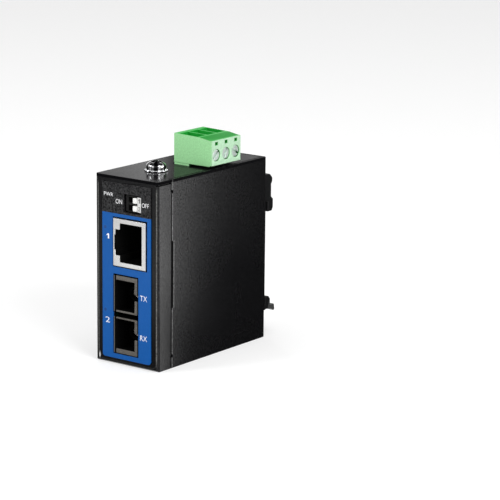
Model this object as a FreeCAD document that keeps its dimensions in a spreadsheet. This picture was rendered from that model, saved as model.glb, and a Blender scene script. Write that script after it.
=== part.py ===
"""Fibre media converter: a slim sheet-metal case with a copper jack, a duplex fibre
transceiver, a two-way switch, a pluggable power terminal and a spring-loaded rail clip.

Millimetres, +Z up, the front faces -Y, the origin is the centre of the case's underside.
"""
import FreeCAD
import Part
import Sketcher
import os
import re

# ---------------------------------------------------------------- driving sizes
SIZES = {
    # case
    "case_width": 25.6, "case_depth": 57.0, "sheet": 1.0, "bend_outer": 1.1, "bend_inner": 0.2,
    "seam": 0.2, "flange_depth": 6.8, "corner_relief": 0.35, "cover_bend": 1.0,
    "seam_step": 0.4, "seam_step_rise": 26.7, "pry_gap": 0.8, "pry_gap_half": 10.9,
    "notch_half": 0.5, "notch_depth": 0.8, "tuck_reach": 3.6, "tuck_half": 6.5, "tuck_gap": 0.05,
    "lip_drop": 5.2, "lip_half": 5.0, "lip_shift": -3.0, "hole_gap": 0.15, "thread_gap": 0.05,
    "cover_screw_inset": 3.0, "cover_screw_radius": 1.25, "cover_screw_head": 2.3,
    "cover_screw_height": 1.3, "cover_screw_length": 3.2, "screw_join": 0.1,
    # front label
    "label_left": 3.25, "label_right": 2.65, "label_low": 2.05, "label_top": 2.1, "label_thick": 0.45,
    "label_corner": 1.6, "window_gap": 0.25, "label_gap": 0.4,
    # circuit board
    "standoff_height": 4.4, "board_thick": 1.6, "board_edge": 2.2, "board_front": 1.5,
    "board_rear": 3.5, "standoff_radius": 2.1, "standoff_floor": 0.8, "board_inset": 3.3,
    "board_hole_radius": 1.35, "board_screw_radius": 1.25,
    "board_screw_head": 2.3, "board_screw_height": 1.5, "board_screw_bite": 2.0,
    "liner_thick": 0.25, "liner_set_back": 1.2, "liner_gap": 0.1,
    # copper jack
    "port_gap": 3.1, "jack_width": 15.4, "jack_lift": 1.0, "jack_tall": 13.15, "jack_length": 21.3,
    "jack_proud": 0.75, "shield": 0.35, "mouth_inset": 1.55, "mouth_edge": 0.4, "mouth_half": 6.3,
    "step_one": 1.8, "step_one_half": 4.2, "step_two": 0.45, "step_two_half": 2.35,
    "jack_depth": 13.0, "insert_gap": 0.1, "contact_pitch": 1.016, "contact_size": 0.4,
    "wire_start": 3.0, "wire_bend": 10.4, "wire_dip": 2.2,
    # fibre transceiver
    "nose_lift": 1.1, "nose_tall": 9.5, "nose_low": 4.0, "nose_width": 25.4, "nose_length": 13.0,
    "nose_proud": 0.7, "port_pitch": 12.7, "port_half": 4.95, "port_inset": 0.95, "port_tall": 7.55,
    "port_depth": 10.0, "key_half": 1.05, "key_stop": 2.0, "groove_half": 0.85, "groove_depth": 5.0,
    "barrel_radius": 2.4, "barrel_length": 5.2, "ferrule_bore": 1.25, "sleeve_wall": 0.35,
    "sleeve_inset": 1.5, "sleeve_split": 0.3, "catch_reach": 5.0, "catch_half": 1.6,
    "catch_gap": 0.3, "catch_thick": 0.8, "optic_lift": 0.3, "optic_length": 25.0,
    "optic_wall": 1.0, "can_radius": 2.7, "can_length": 7.0, "can_rim": 0.5,
    "can_rim_length": 1.2, "driver_thick": 1.0, "driver_drop": 0.8, "pin_pitch": 2.54,
    "pin_size": 0.5, "pin_inset": 3.5,
    # two-way switch
    "switch_gap": 2.6, "switch_lift": 5.5, "switch_wide": 6.2, "switch_tall": 5.2,
    "switch_top": 5.6, "switch_back": 0.25, "switch_depth": 6.0, "lever_pitch": 2.54,
    "lever_inset": 1.45, "lever_wide": 1.4, "lever_tall": 1.7, "lever_proud": 0.9,
    "lever_depth": 2.0, "lever_travel": 2.2, "lever_gap": 0.06, "lever_stop": 0.1,
    "lever_round": 0.3, "lead_size": 0.5, "lead_inset": 1.0, "lead_near": 0.4, "lead_far": 2.6,
    # status lights
    "light_set_back": 0.3, "light_radius": 1.0, "light_block": 2.6, "light_recess": 0.2,
    "light_reach": 1.2, "light_power_drop": 3.8, "light_one_rise": 12.0, "light_two_rise": 13.5,
    # power terminal
    "pole_pitch": 5.08, "plug_back": 21.4, "plug_offset": 2.6, "plug_lift": 0.6,
    "plug_height": 9.5, "plug_foot": 0.9, "plug_foot_rise": 0.3, "slope_length": 4.75,
    "slope_land": 0.9, "slope_drop": 1.0, "slope_lean": 0.35, "tongue_offset": 0.1, "tongue_width": 5.9,
    "tongue_drop": 9.6, "tongue_gap": 0.2, "tongue_slim": 0.1, "plug_hole_gap": 0.4,
    "header_drop": 12.5, "header_wall": 1.1, "header_floor": 2.0, "header_top_gap": 0.3,
    "header_pin": 1.0, "pin_offset": 2.95, "pin_drop": 2.5, "pin_below": 2.0,
    "contact_gap": 0.15, "contact_thick": 0.7, "contact_room": 0.1, "contact_drop": 8.6,
    "fork_half": 1.1, "fork_room": 0.6, "strip_rise": 0.6, "bar_gap": 0.2, "bar_room": 0.2,
    "chamber_side": 0.15, "chamber_rise": 1.45, "chamber_top": 5.8, "chamber_wall": 0.8,
    "clamp_rise": 3.6, "cage_offset": 3.9, "cage_width": 6.6, "cage_wall": 1.0,
    "cage_half": 2.0, "cage_side": 0.3, "cage_gap": 0.1, "cage_travel": 2.2,
    "clamp_radius": 1.25, "clamp_head": 1.85, "clamp_head_height": 1.5, "clamp_recess": 0.3,
    "shank_gap": 0.1, "head_bore_gap": 0.1, "clamp_slot": 0.7, "clamp_slot_depth": 0.9,
    "entry_half": 1.6, "entry_inset": 0.7, "entry_width": 3.3, "funnel_half": 2.15,
    "funnel_left": 2.6, "funnel_right": 1.5, "funnel_depth": 1.6, "test_slot": 1.5,
    "test_slot_tall": 1.1, "test_slot_rise": 3.2, "test_slot_depth": 2.2,
    # earth screw
    "earth_forward": 14.5, "earth_shift": 0.3, "earth_radius": 1.7, "earth_head": 3.2,
    "earth_head_height": 2.95, "earth_dome": 4.4, "earth_length": 5.5, "washer_radius": 3.1,
    "washer_lift": 0.15, "washer_gap": 0.1, "tooth_reach": 0.65, "tooth_width": 0.9,
    "washer_thick": 0.6, "earth_nut_radius": 3.0, "earth_nut_height": 2.0, "earth_slot": 0.95,
    "earth_slot_length": 3.8, "earth_slot_depth": 1.2,
    # rail clip
    "clip_half": 10.0, "clip_base": 3.6, "clip_over": 9.5, "clip_top_bevel": 1.2,
    "rail_drop": 3.35, "rail_half": 17.5, "rail_lip": 1.2, "rail_gap": 0.2, "hook_back": 7.7,
    "hook_catch": 3.2, "hook_bevel": 0.6, "hook_slope": 1.2, "hook_thick": 0.8, "column_back": 6.6,
    "column_slope": 1.0, "knob_back": 7.0, "knob_drop": 3.0, "knob_slope": 0.4,
    "channel_half": 5.2, "channel_deep": 2.8, "channel_over": 5.0, "channel_under": 5.0,
    "relief_side": 6.0, "relief_deep": 0.6, "relief_low": 3.0, "relief_top": 1.0,
    "latch_gap": 0.1, "latch_over": 3.0, "latch_bridge": 2.0, "latch_slot_half": 1.9,
    "latch_slot_rise": 4.0, "spring_lug": 2.0, "lug_join": 0.2, "spring_radius": 1.0,
    "spring_wire": 0.35, "spring_turns": 7.0, "foot_half": 9.5, "foot_drop": 2.8,
    "foot_thick": 1.9, "foot_reach": 10.0, "latch_catch": 2.4, "latch_catch_lead": 1.0,
    "latch_bevel": 1.2, "latch_set_back": 0.3, "latch_travel": 4.0, "latch_room": 0.3,
    "clip_screw_radius": 1.5, "clip_screw_head": 2.8, "clip_sink": 1.6, "clip_screw_rise": 9.5,
    "clip_screw_drop": 5.0, "clip_screw_bite": 3.2, "clip_nut_radius": 2.8, "clip_nut_height": 1.6,
    # board parts
    "part_gap": 1.0, "transformer_long": 7.0, "transformer_wide": 11.0, "transformer_high": 5.6,
    "transformer_rise": 3.2, "converter_side": 12.0, "converter_high": 1.2, "converter_gap": 2.0,
    "memory_long": 4.0, "memory_wide": 5.0, "memory_high": 1.6,
    "memory_rise": 4.0, "inductor_side": 7.0, "inductor_high": 4.2, "crystal_back": 4.5,
    "crystal_long": 3.2, "crystal_wide": 5.0, "crystal_high": 1.2, "crystal_rise": 10.5,
    "fuse_long": 3.0, "fuse_wide": 6.0, "fuse_high": 2.2, "fuse_drop": 3.0,
    "capacitor_radius": 3.15, "capacitor_high": 7.7, "capacitor_rise": 11.5,
    "capacitor_pitch": 7.0,
}
TOOTH_COUNT = 10

doc = FreeCAD.newDocument("media_converter")
sheet = doc.addObject("Spreadsheet::Sheet", "sizes")
for row, (alias, number) in enumerate(SIZES.items(), start=1):
    sheet.set(f"A{row}", alias.replace("_", " "))
    sheet.set(f"B{row}", str(number))
    sheet.setAlias(f"B{row}", alias)
doc.recompute()

# Places that many pieces share, as expressions of the driving sizes. The case is as tall
# as what stands in its front: the transceiver, the jack above it and the switch on top.
FRONT = "(-case_depth/2)"
REAR = "(case_depth/2)"
RIGHT = "(case_width/2)"
LEFT = "(-case_width/2)"
JACK_LOW = "(nose_low + nose_width + port_gap)"
SWITCH_LOW = f"({JACK_LOW} + jack_width + switch_gap)"
TOP = f"({SWITCH_LOW} + switch_tall + switch_top)"
MID = f"({TOP}/2)"
INNER_TOP = f"({TOP} - sheet)"
INNER_RIGHT = f"({RIGHT} - sheet)"
SEAM = f"({FRONT} + flange_depth)"
PLATE_REAR = f"({REAR} - sheet - seam)"
BOARD_BACK = f"({LEFT} + sheet + standoff_height)"
BOARD = f"({BOARD_BACK} + board_thick)"

nodes = []


def bound(text):
    """An expression in words, with each driving size read from the sheet."""
    return re.sub(r"[a-z_]{3,}", lambda word: f"sizes.{word.group()}"
                  if word.group() in SIZES else word.group(), str(text))


def present(text):
    """The present value of an expression, for a sketch's first layout."""
    words = re.sub(r"[a-z_]{3,}", lambda word: f"({SIZES[word.group()]})"
                   if word.group() in SIZES else word.group(), str(text))
    return FreeCAD.Units.Quantity(words).Value


def bind(thing, **paths):
    """Bind properties; a double underscore in the name stands for a dot."""
    for path, text in paths.items():
        thing.setExpression(path.replace("__", "."), bound(text))
    return thing


def around(middle, half):
    """The two planes on either side of a middle."""
    return f"{middle} - ({half})", f"{middle} + ({half})"


def grown(span, gap):
    """A pair of planes moved apart by a gap at each end."""
    return f"{span[0]} - {gap}", f"{span[1]} + {gap}"


def box(name, x, y, z):
    """A block between two X, two Y and two Z planes."""
    thing = doc.addObject("Part::Box", name)
    bind(thing, Placement__Base__x=x[0], Placement__Base__y=y[0], Placement__Base__z=z[0])
    return bind(thing, Length=f"({x[1]}) - ({x[0]})", Width=f"({y[1]}) - ({y[0]})",
                Height=f"({z[1]}) - ({z[0]})")


TURNS = {"x": FreeCAD.Rotation(FreeCAD.Vector(0, 1, 0), 90),
         "y": FreeCAD.Rotation(FreeCAD.Vector(1, 0, 0), -90),
         "z": FreeCAD.Rotation()}


def stand(thing, axis, start, at):
    """Turn a round solid to an axis and bind its place."""
    thing.Placement.Rotation = TURNS[axis]
    across = [letter for letter in "xyz" if letter != axis]
    places = {axis: start, across[0]: at[0], across[1]: at[1]}
    for letter, text in places.items():
        thing.setExpression(f"Placement.Base.{letter}", bound(text))
    return thing


def rod(name, axis, radius, span, at):
    """A round bar along an axis, through the point at in the other two directions."""
    thing = doc.addObject("Part::Cylinder", name)
    bind(thing, Radius=radius, Height=f"({span[1]}) - ({span[0]})")
    return stand(thing, axis, span[0], at)


def cone(name, axis, radii, span, at):
    """A taper along an axis, with its two end radii."""
    thing = doc.addObject("Part::Cone", name)
    bind(thing, Radius1=radii[0], Radius2=radii[1], Height=f"({span[1]}) - ({span[0]})")
    return stand(thing, axis, span[0], at)


def fuse(name, pieces):
    thing = doc.addObject("Part::MultiFuse", name)
    thing.Shapes = pieces
    thing.Refine = True
    return thing


def cut(name, base, tools):
    thing = doc.addObject("Part::Cut", name)
    thing.Base = base
    thing.Tool = tools[0] if len(tools) == 1 else fuse(name + "_tools", tools)
    thing.Refine = True
    return thing


def group(name, pieces):
    """Separate like solids that share one node."""
    thing = doc.addObject("Part::Compound", name)
    thing.Links = pieces
    return thing


def node(label, thing):
    """Give a finished piece its own label and keep it for writing."""
    thing.Label = label
    nodes.append(thing)
    return thing


def pad(name, plane, outline, low, high):
    """A body whose sketch is a closed outline of bound corners, padded from low to high."""
    body = doc.addObject("PartDesign::Body", name)
    sketch = body.newObject("Sketcher::SketchObject", name + "_outline")
    planes = [o for o in body.Origin.OriginFeatures if o.Role == plane + "_Plane"]
    sketch.AttachmentSupport = [(planes[0], "")]
    sketch.MapMode = "FlatFace"
    backwards = plane == "XZ"          # that plane's normal points along -Y
    sketch.setExpression("AttachmentOffset.Base.z", bound(f"-({low})" if backwards else low))
    values = [(present(u), present(v)) for u, v in outline]
    for (u0, v0), (u1, v1) in zip(values, values[1:] + values[:1]):
        sketch.addGeometry(Part.LineSegment(FreeCAD.Vector(u0, v0, 0), FreeCAD.Vector(u1, v1, 0)))
    count = len(outline)
    for index in range(count):
        sketch.addConstraint(Sketcher.Constraint("Coincident", index, 2, (index + 1) % count, 1))
    for index, corner in enumerate(outline):
        for kind, text, value in zip(("DistanceX", "DistanceY"), corner, values[index]):
            number = sketch.addConstraint(Sketcher.Constraint(kind, -1, 1, index, 1, value))
            sketch.setExpression(f"Constraints[{number}]", bound(text))
    feature = body.newObject("PartDesign::Pad", name + "_pad")
    feature.Profile = sketch
    feature.Reversed = backwards
    bind(feature, Length=f"({high}) - ({low})")
    doc.recompute()
    return body


def round_edges(body, radius, chosen):
    """Round the edges of a body's last feature that the test picks."""
    tip = body.Tip
    names = [f"Edge{i + 1}" for i, edge in enumerate(tip.Shape.Edges) if chosen(edge)]
    feature = body.newObject("PartDesign::Fillet", body.Name + "_fillet")
    feature.Base = (tip, names)
    bind(feature, Radius=radius)
    doc.recompute()
    return body


def rectangle(u, v):
    return [(u[0], v[0]), (u[1], v[0]), (u[1], v[1]), (u[0], v[1])]


def along(edge, letter):
    """True for a straight edge parallel to an axis."""
    if len(edge.Vertexes) < 2:
        return False
    step = edge.Vertexes[1].Point - edge.Vertexes[0].Point
    return step.Length - abs(getattr(step, letter)) < 1e-6


def near(value, text):
    return abs(value - present(text)) < 1e-4


def pan_screw(name, axis, at, seat, radius, head, height, length):
    """A flat-topped screw whose head stands on its seat and faces along +axis."""
    return fuse(name, [rod(name + "_head", axis, head, (seat, f"{seat} + {height}"), at),
                       rod(name + "_shank", axis, radius,
                           (f"{seat} - ({length})", f"{seat} + screw_join"), at)])


# ---------------------------------------------------------------- chassis
# One folded sheet: the left wall carries the front, top and bottom walls, and the front
# wall ends in a short flange on the right. Its front bends are round, its corners welded.
def folded_block(name, inset, radius):
    """The case's block, inset by a wall, with round upright and bottom bends at the front."""
    body = pad(name, "XZ", rectangle((f"{LEFT} + {inset}", f"{RIGHT} - {inset}"),
                                     (inset, f"{TOP} - {inset}")), f"{FRONT} + {inset}", PLATE_REAR)
    return round_edges(body, radius, lambda e: near(e.CenterOfMass.y, f"{FRONT} + {inset}") and
                       (along(e, "z") or (along(e, "x") and e.CenterOfMass.z < present(MID))))


shell = folded_block("chassis_block", "0", "bend_outer")
hollow = folded_block("chassis_hollow", "sheet", "bend_inner")
top_plate = pad("top_plate", "XY", rectangle((LEFT, f"{INNER_RIGHT} - seam"), (FRONT, PLATE_REAR)),
                INNER_TOP, TOP)
round_edges(top_plate, "bend_outer", lambda e: along(e, "z") and near(e.CenterOfMass.x, LEFT)
            and near(e.CenterOfMass.y, FRONT))
top_corner = box("top_corner", (f"{INNER_RIGHT} - 2*sheet", RIGHT),
                 (FRONT, f"{SEAM} - seam_step"), (INNER_TOP, TOP))
side_open = box("side_open", (f"{INNER_RIGHT} - seam", f"{RIGHT} + sheet"),
                (SEAM, f"{REAR} + sheet"), ("-sheet", f"{TOP} + sheet"))
end_zones = [("-sheet", f"{MID} - seam_step_rise"), (f"{MID} + seam_step_rise", f"{TOP} + sheet")]
end_steps = [box(f"flange_step_{n}", (INNER_RIGHT, f"{RIGHT} + sheet"), (f"{SEAM} - seam_step", REAR), z)
             for n, z in enumerate(end_zones)]
relief = box("flange_relief", (f"{RIGHT} - bend_outer - seam", f"{RIGHT} + sheet"),
             (f"{FRONT} - sheet", SEAM), (f"{INNER_TOP} - corner_relief", INNER_TOP))
rear_clear = box("rear_clear", (f"{LEFT} + sheet", f"{RIGHT} + sheet"),
                 (f"{PLATE_REAR} - sheet", REAR), ("sheet", INNER_TOP))

# the front's openings: what comes through each, and where it stands
JACK_BASE = f"({BOARD} + jack_lift)"
NOSE_BASE = f"({BOARD} + nose_lift)"
SWITCH_BASE = f"({BOARD} + switch_lift)"
SWITCH_MID = f"({SWITCH_LOW} + switch_tall/2)"
jack_x, jack_z = (JACK_BASE, f"{JACK_BASE} + jack_tall"), (JACK_LOW, f"{JACK_LOW} + jack_width")
nose_x, nose_z = (NOSE_BASE, f"{NOSE_BASE} + nose_tall"), ("nose_low", "nose_low + nose_width")
switch_x, switch_z = (SWITCH_BASE, f"{SWITCH_BASE} + switch_wide"), around(SWITCH_MID, "switch_tall/2")


def openings(name, gap, y):
    """The holes that the jack, the transceiver and the switch come through."""
    rows = [(jack_x, jack_z), (nose_x, nose_z), (switch_x, switch_z)]
    return [box(f"{name}_{n}", grown(x, gap), y, grown(z, gap)) for n, (x, z) in enumerate(rows)]


LIGHT_X = f"({BOARD_BACK} - light_set_back)"
lights = {"power_light": f"{TOP} - light_power_drop",
          "port_1_light": f"{JACK_LOW} + light_one_rise",
          "port_2_light": "nose_low + light_two_rise"}
through_front = (f"{FRONT} - sheet", f"{FRONT} + 2*sheet")
front_cuts = openings("front_hole", "window_gap", through_front)
front_cuts += [rod(f"{name}_hole", "y", "light_radius + hole_gap", through_front, (LIGHT_X, rise))
               for name, rise in lights.items()]

EARTH = f"({FRONT} + earth_forward)"
EARTH_AT = ("earth_shift", EARTH)
PLUG_LEFT = f"({BOARD} + plug_offset)"
PLUG_MID = f"({REAR} - plug_back)"
TONGUE_LEFT = f"({PLUG_LEFT} + tongue_offset)"
TONGUE_RIGHT = f"({TONGUE_LEFT} + tongue_width)"
plug_y = around(PLUG_MID, "pole_pitch*1.5")
through_top = (f"{INNER_TOP} - sheet", f"{TOP} + sheet")
earth_hole = rod("earth_hole", "z", "earth_radius + hole_gap", through_top, EARTH_AT)
plug_hole = box("plug_hole", grown((TONGUE_LEFT, TONGUE_RIGHT), "plug_hole_gap"),
                grown(plug_y, "tongue_gap"), through_top)

cover_screws_at = [("lip_shift", "cover_screw_inset"), ("lip_shift", f"{TOP} - cover_screw_inset")]
lip_x = around("lip_shift", "lip_half")
lip_y = (f"{PLATE_REAR} - sheet", PLATE_REAR)
lips = [box("top_lip", lip_x, lip_y, (f"{INNER_TOP} - lip_drop", f"{TOP} - sheet/2")),
        box("bottom_lip", lip_x, lip_y, ("sheet/2", "sheet + lip_drop"))]
lip_holes = [rod(f"lip_hole_{n}", "y", "cover_screw_radius + thread_gap",
                 (f"{PLATE_REAR} - 2*sheet", REAR), at) for n, at in enumerate(cover_screws_at)]

tray = cut("chassis_tray", shell, [hollow, side_open, relief, rear_clear] + end_steps)
chassis_whole = fuse("chassis_whole", [tray, top_plate, top_corner] + lips)
node("chassis", cut("chassis_folded", chassis_whole, front_cuts + [earth_hole, plug_hole] + lip_holes))

# ---------------------------------------------------------------- cover
# A second folded sheet: the right side and the rear. Its front edge meets the flange in a
# stepped seam and carries two joggled tongues that tuck behind the flange.
cover_block = pad("cover_block", "XZ", rectangle((LEFT, RIGHT), ("0", TOP)), f"{SEAM} + seam", REAR)
round_edges(cover_block, "cover_bend", lambda e: along(e, "z") and near(e.CenterOfMass.x, RIGHT)
            and near(e.CenterOfMass.y, REAR))
cover_hollow = box("cover_hollow", (f"{LEFT} - sheet", INNER_RIGHT), (FRONT, f"{REAR} - sheet"),
                   ("-sheet", f"{TOP} + sheet"))
cover_end_zones = [("0", f"{MID} - seam_step_rise"), (f"{MID} + seam_step_rise", TOP)]
cover_ends = [box(f"cover_end_{n}", (INNER_RIGHT, RIGHT),
                  (f"{SEAM} + seam - seam_step", f"{SEAM} + 2*sheet"), z)
              for n, z in enumerate(cover_end_zones)]
pry = box("pry_gap_cut", (f"{INNER_RIGHT} - 3*sheet", f"{RIGHT} + sheet"),
          (FRONT, f"{SEAM} + pry_gap"), around(MID, "pry_gap_half"))
notches = [box(f"seam_notch_{n}", (INNER_RIGHT, f"{RIGHT} + sheet"), (FRONT, f"{SEAM} + notch_depth"),
               around(z, "notch_half")) for n, z in enumerate(around(MID, "seam_step_rise"))]
tucks = []
for n, middle in enumerate(around(MID, "(pry_gap_half + seam_step_rise)/2")):
    z = around(middle, "tuck_half")
    tucks += [box(f"cover_tuck_{n}", (f"{INNER_RIGHT} - sheet - tuck_gap", f"{INNER_RIGHT} - tuck_gap"),
                  (f"{SEAM} - tuck_reach", f"{SEAM} + 2.5*sheet"), z),
              box(f"cover_joggle_{n}", around(INNER_RIGHT, "sheet/2"),
                  (f"{SEAM} + 1.5*sheet", f"{SEAM} + 2.5*sheet"), z)]
RAIL_MID = f"({MID} - rail_drop)"
RAIL_TOP = f"({RAIL_MID} + rail_half)"
RAIL_LOW = f"({RAIL_MID} - rail_half)"
CLIP_TOP = f"({RAIL_TOP} + clip_over)"
clip_screws_at = [("0", f"{RAIL_MID} + clip_screw_rise"), ("0", f"{CLIP_TOP} - clip_screw_drop")]
through_rear = (f"{REAR} - 2*sheet", f"{REAR} + sheet")
rear_holes = [rod(f"rear_hole_{n}", "y", "cover_screw_radius + hole_gap", through_rear, at)
              for n, at in enumerate(cover_screws_at)]
rear_holes += [rod(f"clip_hole_{n}", "y", "clip_screw_radius + hole_gap", through_rear, at)
               for n, at in enumerate(clip_screws_at)]
cover_skin = fuse("cover_skin", [cut("cover_ell", cover_block, [cover_hollow])] + cover_ends + tucks)
node("cover", cut("cover_folded", cover_skin, [pry] + notches + rear_holes))
node("cover_screws", group("cover_screw_pair", [
    pan_screw(f"cover_screw_{n}", "y", at, REAR, "cover_screw_radius", "cover_screw_head",
              "cover_screw_height", "cover_screw_length") for n, at in enumerate(cover_screws_at)]))

# ---------------------------------------------------------------- front label
# A thick printed overlay with round lower corners, cut out around everything it frames.
label_blank = pad("label_blank", "XZ", rectangle((f"{LEFT} + label_left", f"{RIGHT} - label_right"),
                                                 ("label_low", f"{TOP} - label_top")),
                  f"{FRONT} - label_thick", FRONT)
round_edges(label_blank, "label_corner", lambda e: along(e, "y") and e.CenterOfMass.z < present(MID))
node("front_label", cut("label_cut", label_blank,
                        openings("label_hole", "label_gap", around(FRONT, "sheet"))))

# ---------------------------------------------------------------- circuit board
# It stands upright on four clinched standoffs in the left wall, its parts facing right.
BOARD_FRONT = f"({FRONT} + board_front)"
BOARD_REAR = f"({REAR} - board_rear)"
BOARD_TOP = f"({TOP} - board_edge)"
JACK_FRONT = f"({FRONT} - jack_proud)"
JACK_REAR = f"({JACK_FRONT} + jack_length)"
board_holes = [(f"{plug_y[0]} - header_wall - board_inset", f"{BOARD_TOP} - board_inset"),
               (f"{BOARD_REAR} - board_inset", f"{BOARD_TOP} - board_inset"),
               (f"{BOARD_REAR} - board_inset", "board_edge + board_inset"),
               (f"{JACK_REAR} + board_inset", f"{nose_z[1]} + board_inset")]
board_blank = box("board_blank", (BOARD_BACK, BOARD), (BOARD_FRONT, BOARD_REAR),
                  ("board_edge", BOARD_TOP))
drills, standoffs, liner_holes = [], [], []
for n, at in enumerate(board_holes):
    drills.append(rod(f"board_drill_{n}", "x", "board_hole_radius",
                      grown((BOARD_BACK, BOARD), "board_thick"), at))
    post = rod(f"standoff_{n}", "x", "standoff_radius", (f"{LEFT} + sheet", BOARD_BACK), at)
    bore = rod(f"standoff_bore_{n}", "x", "board_screw_radius",
               (f"{LEFT} + sheet + standoff_floor", BOARD), at)
    standoffs.append(cut(f"standoff_tapped_{n}", post, [bore]))
    liner_holes.append(rod(f"liner_hole_{n}", "x", "standoff_radius + liner_gap",
                           (LEFT, f"{LEFT} + 3*sheet"), at))
node("circuit_board", cut("board_drilled", board_blank, drills))
node("board_standoffs", group("standoff_set", standoffs))
node("board_screws", group("board_screw_set", [
    pan_screw(f"board_screw_{n}", "x", at, BOARD, "board_screw_radius", "board_screw_head",
              "board_screw_height", "board_thick + board_screw_bite")
    for n, at in enumerate(board_holes)]))
liner = box("liner", (f"{LEFT} + sheet", f"{LEFT} + sheet + liner_thick"),
            (f"{BOARD_FRONT} + liner_set_back", BOARD_REAR), ("board_edge", BOARD_TOP))
node("insulating_sheet", cut("liner_cut", liner, liner_holes))

# ---------------------------------------------------------------- status lights
# Right-angle lights on the board's left face, their lenses in holes behind the label.
for name, rise in lights.items():
    lens = rod(f"{name}_lens", "y", "light_radius",
               (f"{FRONT} + light_recess", f"{BOARD_FRONT} + light_reach"), (LIGHT_X, rise))
    block = box(f"{name}_block", (f"{BOARD_BACK} - light_block", BOARD_BACK),
                (BOARD_FRONT, f"{BOARD_FRONT} + light_block"), around(rise, "light_block/2"))
    board_room = box(f"{name}_trim", (BOARD_BACK, BOARD), (BOARD_FRONT, BOARD_REAR),
                     around(rise, "light_block"))
    node(name, cut(f"{name}_whole", fuse(f"{name}_joined", [lens, block]), [board_room]))

# ---------------------------------------------------------------- copper jack
# A folded shield around a moulded insert, with eight sprung contacts in its mouth.
JACK_MID = f"({JACK_LOW} + jack_width/2)"
MOUTH_HIGH = f"({jack_x[1]} - mouth_inset)"
MOUTH_LOW = f"({jack_x[0]} + mouth_edge + step_two + step_one)"


def mouth(name, y, gap):
    """The keyed mouth: the plug's window and the two steps for its latch."""
    steps = [(grown((MOUTH_LOW, MOUTH_HIGH), gap), "mouth_half"),
             ((f"{MOUTH_LOW} - step_one - {gap}", MOUTH_HIGH), "step_one_half"),
             ((f"{MOUTH_LOW} - step_one - step_two - {gap}", MOUTH_HIGH), "step_two_half")]
    return fuse(name, [box(f"{name}_{n}", x, y, around(JACK_MID, f"{half} + {gap}"))
                       for n, (x, half) in enumerate(steps)])


inner_y = (f"{JACK_FRONT} + shield", f"{JACK_REAR} - shield")
inner_z = (f"{jack_z[0]} + shield", f"{jack_z[1]} - shield")
shield_block = box("shield_block", jack_x, (JACK_FRONT, JACK_REAR), jack_z)
shield_inside = box("shield_inside", (BOARD, f"{jack_x[1]} - shield"), inner_y, inner_z)
shield_mouth = mouth("shield_mouth", around(JACK_FRONT, "sheet"), "0")
node("jack_shield", cut("shield_folded", shield_block, [shield_inside, shield_mouth]))
insert_block = box("insert_block", (JACK_BASE, f"{jack_x[1]} - shield"), inner_y, inner_z)
insert_foot = box("insert_foot", (BOARD, f"{JACK_BASE} + sheet"), (BOARD_FRONT, inner_y[1]), inner_z)
insert_mouth = mouth("insert_mouth", (JACK_FRONT, f"{JACK_FRONT} + jack_depth"), "insert_gap")
insert_whole = fuse("insert_whole", [insert_block, insert_foot])
node("jack_insert", cut("insert_moulded", insert_whole, [insert_mouth]))
wire_rise = f"({MOUTH_HIGH} - wire_dip)"
wire_y = {"start": f"{JACK_FRONT} + wire_start", "bend": f"{JACK_FRONT} + wire_bend",
          "end": f"{JACK_FRONT} + jack_depth"}
wire_outline = [(f"{MOUTH_HIGH} + insert_gap", wire_y["start"]),
                (f"{MOUTH_HIGH} + insert_gap", f"{wire_y['start']} + 1.5*contact_size"),
                (wire_rise, f"{wire_y['bend']} + contact_size/4"), (wire_rise, wire_y["end"]),
                (f"{wire_rise} - contact_size", wire_y["end"]),
                (f"{wire_rise} - contact_size", wire_y["bend"]),
                (f"{MOUTH_HIGH} - 0.75*contact_size", wire_y["start"])]
node("jack_contacts", group("jack_contact_row", [
    pad(f"jack_contact_{n}", "XY", wire_outline,
        *around(f"({JACK_MID} + ({n} - 3.5)*contact_pitch)", "contact_size/2")) for n in range(8)]))

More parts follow.
